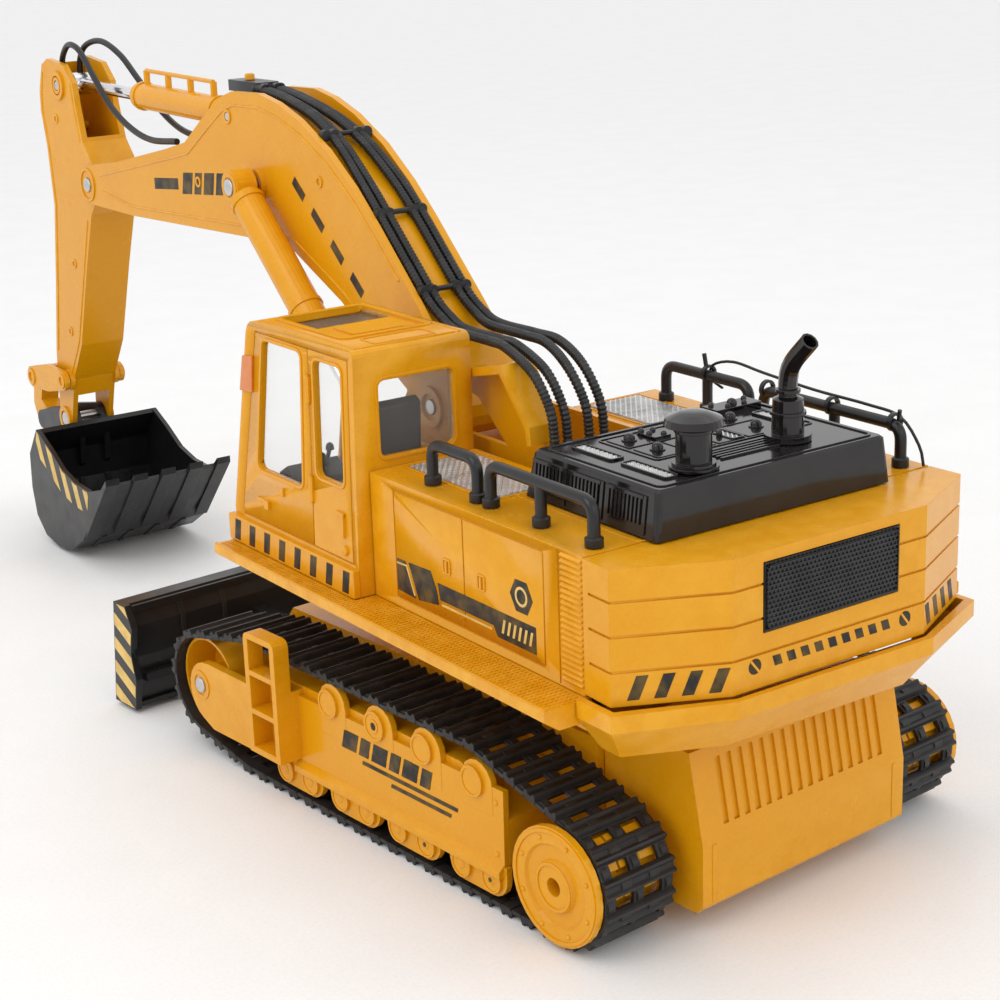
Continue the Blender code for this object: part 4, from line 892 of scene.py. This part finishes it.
def cab_details():
    """The cab's panel lines, trims, sill, mirror, console, levers and seat."""
    cab = Box("cab_shell", HOUSE)
    face, top = cab.x1, cab.z1
    lines = [
        rect((-25.9, -25.2), (109, 187)),
        [(-66.4, 187), (-65.7, 187), (-82.2, 112), (-81, 109.2), (-81.8, 109), (-83, 112)],
        rect((-82, 5), (108.6, 109.2)),
        rect((-66.2, 3.6), (186.4, 187)),
        rect((3, 3.7), (109, 187)),
    ]
    cuts = [moved(prism("x", line, face - 0.55, face + 1), lean) for line in lines]
    grooved("cab_shell", "house", YELLOW, cuts)

    panes = (((-68, 131), (-33, 131), (-31, 184), (-60, 184)), 1.3), (rect((-21, -1.5), (138, 183)), 1.2)
    trims = [rim("x", grown(soft_outline(p, 3), 0.2), width, face - ROOT, face + 0.6) for p, width in panes]
    for y, z0, z1 in ((-25.5, 166, 176), (-25.5, 127, 136.5)):
        trims += [
            raised(face, 1.1, (y - 1.3, y + 1.3), (z0, z1)),
            turned("z", (face + 0.6, y), [(z0 - 0.6, 0.9), (z1 + 0.6, 0.9)], 12),
        ]
    for height, y, z in (
        (0.7, (-70, -60), (117.4, 118.8)),
        (1.5, (-62.6, -59.4), (115.4, 119)),
        (1.2, (-48.8, -47.4), (123.6, 127)),
        (1.3, (-3.4, -1.4), (118, 127.4)),
        (1, (-7.4, -1.4), (126, 127.6)),
    ):
        trims.append(raised(face, height, y, z))
    lock = [(face - ROOT, 1.9), (face + 1, 1.9), (face + 1.3, 1.3), (face + 1.3, 0.1)]
    trims.append(turned("x", (-1.6, 113), lock, 16))
    piece("cab_side_trim", "house", YELLOW, [moved(shape, lean) for shape in trims], soft=0.2)
    pane = grown(rounded((40, 73), (149, 178), 2.5), 0.3)
    piece("cab_rear_trim", "house", YELLOW, [rim("y", pane, 1.2, cab.y1 - ROOT, cab.y1 + 0.5)], soft=0.2)
    low = top - ROOT
    roof = [
        rim("z", rounded((37, 74), (-62, -14), 2), 2.4, low, top + 0.8),
        rim("z", rounded((44, 70), (-8, 2), 1), 0.8, low, top + 0.5),
        prism("z", rounded((36.8, 74.2), (-39, -13.8), 1), top - 1.9, top - 0.6),
        prism("z", rounded((44, 67), (-34, -18), 1.2), top - 0.9, top + 0.3),
        slab((36, 79), (3.6, 4.6), (low, top + 0.35)),
        *[slab((x, x + 0.9), (-66, 4.6), (low, top + 0.35)) for x in (33.4, 79.6)],
    ]
    piece("cab_roof_trim", "house", YELLOW, roof, soft=0.2)
    sill_x = 88.4
    sill = [slab((cab.x1 - 0.6, sill_x), (cab.y0 - 1.2, cab.y1 + 0.4), (96.45, 107.6))]
    piece("cab_sill", "house", YELLOW, sill, soft=0.6)
    bars = [decal("x", slanted(-86.4 + 12.2 * i, 97.7, 4.6, 8.8, 1.6), sill_x) for i in range(8)]
    piece("cab_sill_bars", "house", INK, bars)

    def edge_y(z):
        """The y of the cab's leaning front edge at a height."""
        return -90 + 17 * (z - 110) / 80.7

    low, high = edge_y(160.8), edge_y(176.6)
    lamp = [(low - 0.6, 160.8), (low + 9.6, 161.6), (high + 7.6, 176.6), (high - 0.6, 175.6)]
    piece("side_mirror", "house", AMBER, [moved(prism("x", lamp, face - 1.2, face + 1), lean)], soft=0.4)
    dash = [(-78, 104), (-79, 124), (-72, 128), (-66, 122), (-68, 104)]
    console = [prism("x", dash, 46, 70), slab((48, 68), (-58, -46), (103.2, 104.4))]
    piece("cab_console", "house", SEAT, console, soft=0.5)
    levers = []
    for x in (42.7, 72.2):
        levers += [
            dome("z", (x, -40), 2.6, 136.8, 4.2),
            turned("z", (x, -40), [(127.6, 3.4), (128.6, 3.2), (130.6, 1.8)], 16),
        ]
    levers += [tube([(x, -70, 125), (x, -66, 134)], 0.9, 10) for x in (53, 63)]
    levers += [dome("z", (x, -66), 1.8, 133, 3) for x in (53, 63)]
    piece("cab_levers", "house", BLACK, levers)
    back = [(-17.4, 130), (-14.6, 160), (-16.4, 160.4), (-19.2, 130.4)]
    seat = [slab((48.4, 66.6), (-41, -20), (126, 127.6)), prism("x", back, 48.6, 66.4)]
    seat += [slab((49 + 5.6 * i, 49.6 + 5.6 * i), (-40, -21), (127.4, 128)) for i in range(4)]
    piece("seat_cushions", "house", SEAT, seat, soft=0.6)


def lattice(x, y, z, pitch, wire):
    """An expanded mesh: two sets of slanted wires over a rectangle."""
    shapes = []
    for angle, lift in ((38, 0), (-38, 0.12)):
        for stripe in stripes(rect(x, y), angle, pitch, wire, 0.3):
            shapes.append(prism("z", stripe, z + lift, z + lift + 0.35))
    return shapes


def deck_pads():
    """The two metal pads of the deck with their expanded mesh."""
    for side in ("left", "right"):
        pad = Box(f"deck_pad_{side}", HOUSE)
        dress(SILVER, f"deck_pad_{side}")
        wires = lattice((pad.x0 + 0.2, pad.x1 - 0.2), (pad.y0 + 0.2, pad.y1 - 0.2), pad.z1 - 0.05, 2.1, 0.75)
        piece(f"deck_mesh_{side}", "house", SILVER, wires)


def hood_details():
    """Panels, knobs, mesh windows and louvres on the engine hood, and rings on its two stacks."""
    hood = Box("engine_hood", HOUSE)
    top = hood.z1
    low, high = top - ROOT, top + 0.5

    def plate(x, y, radius, height):
        return prism("z", rounded(x, y, radius), low, top + height)

    lines = [rim("z", rounded((-47.6, 47.6), (77.4, 138.6), 2), 1, low, high)]
    lines.append(rim("z", rounded((-43.4, 28.4), (81.6, 113.6), 1.2), 0.7, low, high - 0.1))
    plates = []
    for x in ((14.4, 26.6), (0.6, 13.2), (-13.2, -0.6), (-32, -14.4)):
        plates += [plate(x, y, 0.8, 0.35) for y in ((83, 96.2), (98, 112.4))]
    plates += [plate((-46, -24), (75.6, 84.6), 0.8, 2.4), plate((6, 13.6), (84.4, 94.6), 0.6, 1.3)]
    plates += [slab((-11, -3), (84.4 + 1.8 * i, 85.3 + 1.8 * i), (low, top + 1)) for i in range(6)]
    for i in range(5):
        y = (117.4 + 2.4 * i, 118.5 + 2.4 * i)
        plates += [slab(x, y, (low, top + 0.7)) for x in ((16, 24), (-16, 12))]
    piece("hood_lines", "house", GLOSS, lines, soft=0.15)
    piece("hood_plates", "house", GLOSS, plates, soft=0.2)

    knobs = []
    collar = [(top, 2.8), (top + 0.8, 2.8), (top + 0.8, 2)]
    for spot in ((20.4, 88.6), (20.6, 104.4), (-25, 90.4), (-25, 104.4)):
        knobs += [turned("z", spot, collar, 20), dome("z", spot, 2.1, top + 0.8, 2.2)]
    for spot in ((8, 86.4), (8, 92.6), (12, 89.4), (12, 84.9), (7, 105), (-7, 105)):
        knobs += [dome("z", spot, 1.15, top + 1, 1.5), disc("z", spot, 1.1, low, top + 1.1, 14)]
    for spot in ((-43, 77.6), (-39, 82.4), (-31, 82.4), (-27, 77.6)):
        knobs.append(dome("z", spot, 1.1, top + 2.3, 1.4))
    knobs.append(dome("z", (-35, 80), 2, top + 2.3, 2.2))
    piece("hood_knobs", "house", GLOSS, knobs)

    windows = (((35.8, 40.6), (82.6, 104)), ((35.8, 40.6), (110, 133)))
    windows += (((-41.4, -36.6), (90, 111)), ((-12.4, -7.8), (100, 111.4)))
    screens, surrounds = [], []
    for x, y in windows:
        screens += lattice(x, y, top - 0.1, 1.5, 0.55)
        screens.append(slab(x, y, (low, top + 0.05)))
        surrounds.append(rim("z", rounded(x, y, 0.8), 0.9, low, top + 0.8))
    piece("hood_screens", "house", SILVER, screens)
    piece("hood_screen_rims", "house", GLOSS, surrounds, soft=0.2)

    foot_z = 145.1
    slope = 2 / (top - 1 - foot_z)
    ribs = []
    for y0, count in ((76, 8), (96.5, 8), (117, 9)):
        end = y0 + 2.05 * count
        ribs += [raised(hood.x1, 0.7, (y0 + 2.05 * i, y0 + 2.05 * i + 0.9), (149.4, 158.2)) for i in range(count)]
        ribs.append(raised(hood.x1, 0.8, (y0 - 1, end), (158.2, 159.4)))
        ribs.append(raised(hood.x1, 0.5, (end, end + 1.6), (146.4, 159.4)))
    ribs = [moved(rib, lambda p: Vector((p.x - slope * (p.z - foot_z), p.y, p.z))) for rib in ribs]
    piece("hood_side_louvres", "house", GLOSS, both_sides(ribs))

    cleaner, exhaust = (26, 130), (-22, 124)
    stack = [
        turned("z", cleaner, [(top + 0.4, 8.6), (top + 1.6, 8.6)], 32),
        ring("z", cleaner, 6.7, 6, top + 13, top + 14.2),
        dome("z", cleaner, 6.4, top + 18.6, 1.6, 32),
        ring("z", exhaust, 6.4, 5.3, top + 9.4, top + 10.6),
        ring("z", exhaust, 4.4, 3.3, top + 17.2, top + 18.4),
    ]
    piece("stack_rings", "house", GLOSS, stack, soft=0.15)


def handrails():
    """The bent rails of the deck with their collars, at full roundness, and the wire's ties."""
    middle_posts = {"left_front": (), "left_rear": (103,), "right_front": (26,), "right_rear": (98,)}
    for name, middle in middle_posts.items():
        extent = Box(f"handrail_{name}", HOUSE)
        x, foot, top = (extent.x0 + extent.x1) / 2, extent.z0, extent.z1 - 2.2
        y0, y1 = extent.y0 + 3.2, extent.y1 - 3.2
        shapes = [bent_bar([(x, y0, foot), (x, y0, top), (x, y1, top), (x, y1, foot)], 2.2, 6)]
        shapes += [disc("z", (x, y), 2.1, foot, top, 16) for y in middle]
        collar = [(foot, 3.2), (foot + 2.9, 3.2), (foot + 3.4, 2.6)]
        shapes += [turned("z", (x, y), collar, 20) for y in (y0, y1, *middle)]
        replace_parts(piece(f"rail_{name}", "house", BLACK, shapes), f"handrail_{name}")
    ties = [ring("y", (-70.6, 160.6), 3.6, 2.6, y - 0.9, y + 0.9, 20) for y in (26, 60.5, 96, 128)]
    ties += [
        tube([(-70.2, 25, 163.4), (-70, 24, 168.6)], 0.9, 8),
        tube([(-69.6, 131, 162), (-69, 132, 166)], 0.8, 8),
    ]
    piece("wire_ties", "house", BLACK, ties)


def mount_details():
    """Rings round the boom's foot pin and ribs on the mount's cheek."""
    side = Box("boom_mount", HOUSE).x0
    foot = pin_of("boom_lift")
    shapes = [ring("x", foot, 8.6, 5.4, low, low + 1.8) for low in (side - 1.4, 22.4)]
    shapes += [slab((side - 0.7, side + 0.2), (-80, 6), (z, z + 1.4)) for z in (104, 116, 128)]
    piece("mount_bosses", "house", YELLOW, shapes, soft=0.3)


# ---------------------------------------------------------------- boom, stick and bucket


def boom_details():
    """Ribs, bosses and pin caps on the boom's cheeks, and its plain printed bars and dashes."""
    foot, high, nose = pin_of("boom_lift"), pin_of("boom_barrel_swing"), pin_of("stick_swing")
    half = 16
    upper = [(-66, 197.4), (-82.4, 212.6), (-98.6, 226.6), (-118.6, 240.2), (-141.2, 251), (-159.6, 256.8)]
    upper += [(-176.4, 259.8), (-200.4, 259.4), (-210.6, 256.4), (-222.6, 249.6), (-249.6, 233.4)]
    upper += [(-272.8, 228.8), (-352, 213.4)]
    lower = [(-352, 205.4), (-317, 201.4), (-183, 205.4), (-150, 203.6), (-110.4, 186.2), (-71, 161.6)]
    shapes = [*ridge(upper, half), *ridge(lower, half)]
    shapes += [boss(foot, 11.6, 9.6, half, 0.8), boss(foot, 6.4, 3.6, half, 1.4), boss(nose, 8.8, 7.4, half, 0.7)]
    shapes.append(ring("x", high, 6.8, 5.2, half + 1.6, half + 2.5))
    for spot, size in (((-206, 254), 3.4), ((-240, 221), 2.6), ((-126, 232), 2.6)):
        shapes.append(boss(spot, size, size * 0.6, half, 0.6, 20))
    piece("boom_ribs", "boom", YELLOW, both_sides(shapes))
    caps = [dome("x", nose, 3.9, half + 0.2, 1.6, 20), dome("x", high, 3.9, 31.4, 1.2, 20)]
    caps.append(dome("x", (-206, 254), 1.9, half - 0.1, 0.9, 14))
    piece("boom_pin_caps", "boom", STEEL, both_sides(caps))

    def base(y):
        """The height of the print's lower line, which follows the boom's slope."""
        return 213 + (y + 288) * tan(radians(4.8))

    def mark(y, wide, low, high, slant):
        left, right = base(y), base(y + wide)
        return [
            (y, left + low), (y + wide, right + low), (y + wide + slant, right + high), (y + slant, left + high),
        ]

    marks = [mark(-288, 26, 0, 5.4, 0)]
    y = -258
    for wide in (10, 7, 10, 7, 10):
        marks.append(mark(y, wide, -2, 8.4, 2.4))
        y += wide + 2.6
    piece("boom_graphic", "boom", INK, both_sides([decal("x", shape, half) for shape in marks]))
    along, across = Vector((0.76, -0.65)) * 11, Vector((0.65, 0.76)) * 4.4
    dashes = []
    for i in range(4):
        a = Vector((-150 + 15 * i, 229 - 12 * i))
        dashes.append(decal("x", [tuple(p) for p in (a, a + along, a + along + across, a + across)], half))
    piece("boom_dashes", "boom", INK, both_sides(dashes))
    knob = [turned("z", (0, -212), [(269, 2.4), (271.4, 2.2), (271.8, 1.4)], 16)]
    piece("hose_block_cap", "boom", YELLOW, knob)


HOSE_RIDGE = ((-198, 266.2), (-176, 263.6), (-152, 258.6), (-136, 253.4), (-120, 245.6), (-100, 231.6),
              (-84, 217.8), (-68, 203), (-54, 190.6), (-44, 184.6))


def hose_line(x, free_x, arc_y):
    """One of the boom's four hoses: along the channel of its back, then a free arc down to the deck."""
    free = [(-28, 182.4), (0, 183.4), (arc_y, 184), (38, 178.6), (48, 167), (50.5, 156), (50.5, 145.3)]
    route = [(x * min(1, 0.45 + 0.02 * i * i), *p) for i, p in enumerate(HOSE_RIDGE)]
    for i, point in enumerate(free):
        share = min(1, (i + 1) / 4)
        route.append((x + (free_x - x) * share, *point))
    return route


def boom_hoses():
    """Four corrugated hoses that arc from the boom down to the deck, with their ties and head block."""
    start, end = (HOUSE @ (Vector(p) * MM) for p in ((0, -40, 184), (0, 44, 170)))
    lanes = ((10.2, 25, 16), (6, 19, 16), (-6, 9, 20), (-10.2, 2, 20))
    for i, lane in enumerate(lanes):
        obj = piece(f"boom_hose_{i + 1}", None, HOSE, [ribbed_hose(hose_line(*lane), 1.95)])
        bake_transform(obj)
        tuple(start)
        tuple(end)
        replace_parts(obj, "boom_hoses")
    block = [prism("z", rounded((-5.6, 5.6), (-224, -194), 1.6), 263.8, 268.8)]
    for y, z in ((-129, 250.4), (-88, 221.3), (-57, 193.2)):
        block.append(tube([(-12.2, y, z + 0.6), (12.2, y, z + 0.6)], 1.2, 10))
        block += [turned("y", (x, z + 0.4), [(y - 1.6, 2.5), (y + 1.6, 2.5)], 14) for x, *_ in lanes]
    sleeve = [(-200, 2), (-192, 2.3), (-190, 2.3)]
    block += [turned("y", (x, 266.2), sleeve, 12) for x in (4, 2.4, -2.4, -4)]
    piece("hose_block", "boom", BLACK, block, soft=0.2)
    collar = [(144.9, 3), (147.4, 3), (148, 2.4)]
    piece("hose_collars", "house", BLACK, [turned("z", (free_x, 50.5), collar, 16) for _, free_x, _ in lanes])


def stick_hoses():
    """The two plain hoses that curve from the boom's nose to the stick's head."""
    left = [(6.6, -411, 261), (6.8, -408, 270), (7, -400, 276.5), (8, -389, 277), (8, -380, 273), (8, -366, 261)]
    left += [(8, -349, 248), (8, -328, 239), (8, -305, 234.8), (8, -276, 236.2)]
    right = [(-6.6, -418, 257), (-7, -417, 268), (-8.2, -410, 275.5), (-9.4, -393, 278), (-9.8, -372, 272)]
    right += [(-9.8, -353, 261), (-9.8, -330, 247), (-9.4, -308, 238.8), (-7, -280, 236)]
    start, end = (HOUSE @ (Vector(p) * MM) for p in ((0, -300, 236), (0, -396, 268)))
    for name, route in (("left", left), ("right", right)):
        obj = piece(f"front_hose_{name}", None, HOSE, [tube(smooth_route(route, 2), 1.6, 12)])
        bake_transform(obj)
        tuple(start)
        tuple(end)
        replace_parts(obj, f"stick_hose_{name}")


def ram_collar(start, end, at, radius, x, width=2.4):
    """A ring round a ram's barrel at a distance from its eye."""
    a, b = on_line(start, end, at, 0), on_line(start, end, at + width, 0)
    return tube([(x, *a), (x, *b)], radius, 28)


def ram_details():
    """Collars and seals on the barrels of the boom's two rams and of the stick's."""
    pin, barrel = Box("ram_foot_pin", HOUSE), Box("stick_barrel", HOUSE)
    high, foot = pin_of("boom_barrel_swing"), ((pin.y0 + pin.y1) / 2, (pin.z0 + pin.z1) / 2)
    rear, front = (barrel.y1 - 7, 252), pin_of("stick_rod_swing")
    for side, sign in (("left", 1), ("right", -1)):
        x = sign * 26
        rings = [ram_collar(high, foot, at, 8, x) for at in (8.6, 70, 81.6)]
        rings.append(ring("x", high, 6.6, 4.4, x + sign * 4.4, x + sign * 5.6))
        piece(f"boom_ram_rings_{side}", "boom_barrels", YELLOW, rings, soft=0.3)
        piece(f"boom_ram_seal_{side}", "boom_barrels", BLACK, [ram_collar(high, foot, 84.6, 5, x, 2.6)])
    rings = [ram_collar(rear, front, at, 7.3, 0) for at in (12, 30, 112)]
    piece("stick_ram_rings", "stick_barrel", YELLOW, rings, soft=0.3)
    piece("stick_ram_seal", "stick_barrel", BLACK, [ram_collar(rear, front, 118, 4.8, 0)])


def stick_details():
    """Ribs, bosses, cross pins and pin caps on the stick, and the rocker's rings."""
    joints = ("stick_rod_swing", "rocker_swing", "bucket_curl", "link_swing")
    ram, rocker, bucket, link = map(pin_of, joints)
    half = 12.5
    shapes = [boss(ram, 7.6, 5.2, half, 1.3), boss(ram, 4.4, 2.8, half, 1.3), boss(bucket, 7.2, 4.6, half, 1.2)]
    back = [(-424, 262), (-427.4, 250), (-428.4, 241), (-424.2, 222), (-422.2, 190), (-431, 145)]
    shapes += ridge([*back, (-439.6, 106)], half)
    shapes += ridge([(-423.6, 94.6), (-408.8, 115.6), (-391.8, 160), (-382, 186)], half)
    shapes += ridge([(-388.6, 258), (-387, 246), (-382.4, 228)], half)
    for spot in ((-411, 238), (-405, 160), (-419, 120)):
        shapes.append(boss(spot, 2.6, 1.5, half, 0.5, 18))
    piece("stick_ribs", "stick", YELLOW, both_sides(shapes))
    cross = [disc("x", (-421, 232), 2.4, -9.6, 9.6, 14), slab((-9.5, 9.5), (-428, -424.6), (244, 246.4))]
    piece("stick_cross_pins", "stick", YELLOW, cross)
    caps = [dome("x", ram, 2.7, half + 0.1, 1.6, 16), dome("x", bucket, 4.2, half + 0.2, 1.4, 16)]
    piece("stick_pin_caps", "stick", STEEL, both_sides(caps))
    plate = Box("rocker", HOUSE).x1
    rings = [boss(rocker, 4.4, 2.4, plate, 0.8), boss(link, 4.8, 2.6, plate, 0.8)]
    piece("rocker_rings", "rocker", YELLOW, both_sides(rings), soft=0.2)


def bucket_details():
    """Stripes on the bucket's cheeks and ribs along its round back."""
    bucket = Box("bucket", HOUSE)
    edge = [(-424, 66), (-408, 58.6), (-392, 49.6), (-376, 45.6), (-358, 44.6), (-362, 31)]
    edge += [(-380, 32), (-397, 36), (-413, 45), (-429, 52.6)]
    marks = [decal("x", stripe, bucket.x1) for stripe in stripes(grown(edge, -0.5), 22, 12.4, 5.6, 5)]
    piece("bucket_stripes", "bucket", CREAM, both_sides(marks))
    wall = [(-438.8, 30), (-435.4, 13.8), (-424.4, 4), (-406, 1), (-387.6, 4), (-371.6, 13.6)]
    back = [(-433.6, 31), (-431, 16.4), (-422, 8), (-406, 5.2), (-389.6, 8), (-374.6, 16.6)]
    ribs = [prism("x", [*wall, *reversed(back)], x - 1.6, x + 1.6) for x in (-24, -8, 8, 24)]
    piece("bucket_ribs", "bucket", BLACK, ribs, soft=0.2)
    rings = [ring("x", pin_of("bucket_curl"), 5.4, 3.4, 9, 9.6)]
    piece("bucket_pin_rings", "bucket", BLACK, both_sides(rings))


# ---------------------------------------------------------------- stage


def backdrop():
    """A wide flat pale floor."""
    mesh = bpy.data.meshes.new("floor")
    mesh.from_pydata([(-30, -40, 0), (30, -40, 0), (-30, 40, 0), (30, 40, 0)], [], [(0, 1, 3, 2)])
    floor = new_object("floor", mesh)
    look = material("pale_floor", (0.88, 0.88, 0.88), (0.9, 0.9, 0.9), (0.6, 0.75), round_edge=0)
    floor.data.materials.append(look)


def area_light(name, place, size, watts):
    """A soft rectangular light aimed just above the floor's middle."""
    light = bpy.data.lights.new(name, "AREA")
    light.shape = "RECTANGLE"
    light.size, light.size_y = size
    light.energy = watts
    aim = (Vector((0, 0, 0.1)) - Vector(place)).to_track_quat("-Z", "Y")
    new_object(name, light).matrix_world = Matrix.Translation(place) @ aim.to_matrix().to_4x4()


def lights():
    """An even white sky and three soft lamps."""
    world = bpy.data.worlds.new("studio")
    world.use_nodes = True
    sky = world.node_tree.nodes["Background"]
    sky.inputs["Color"].default_value = (1, 1, 1, 1)
    sky.inputs["Strength"].default_value = 0.98
    bpy.context.scene.world = world
    area_light("key", (1.1, 0.1, 1.2), (0.9, 0.9), 5)
    area_light("rear", (0.1, 1.5, 0.9), (1.2, 0.7), 2)
    area_light("top", (-0.3, -0.2, 1.6), (1.4, 1.4), 2)


AZIMUTH, ELEVATION, ROLL = (radians(angle) for angle in (140.56, 17.06, -1.99))
CAMERA_PLACE = Vector((0.49641, 0.58374, 0.35144))
FOCAL_LENGTH, SENSOR_WIDTH = 72.37, 36


def camera():
    """The photograph's viewing angle, with its slight roll."""
    level = cos(ELEVATION)
    back = Vector((sin(AZIMUTH) * level, -cos(AZIMUTH) * level, sin(ELEVATION)))
    right = Vector((cos(AZIMUTH), sin(AZIMUTH), 0))
    up = back.cross(right)
    rolled = right * cos(ROLL) + up * sin(ROLL)
    upright = -right * sin(ROLL) + up * cos(ROLL)
    place = CAMERA_PLACE + Vector((slew_axis.x, slew_axis.y, 0))
    lens = bpy.data.cameras.new("camera")
    lens.lens = FOCAL_LENGTH
    lens.sensor_width = SENSOR_WIDTH
    lens.clip_start = 0.01
    viewer = new_object("camera", lens)
    viewer.matrix_world = Matrix.Translation(place) @ Matrix((rolled, upright, back)).transposed().to_4x4()
    bpy.context.scene.camera = viewer


bpy.context.scene.view_settings.view_transform = "Standard"
dress_frame()
for side, sign in (("left", 1), ("right", -1)):
    belt(side)
    wheel_details(side, sign)
blade_details()
chassis_details()
walkways()
body_panels()
body_graphics()
counterweight_details()
cab_details()
deck_pads()
hood_details()
handrails()
mount_details()
boom_details()
boom_hoses()
stick_hoses()
ram_details()
stick_details()
bucket_details()
backdrop()
lights()
camera()
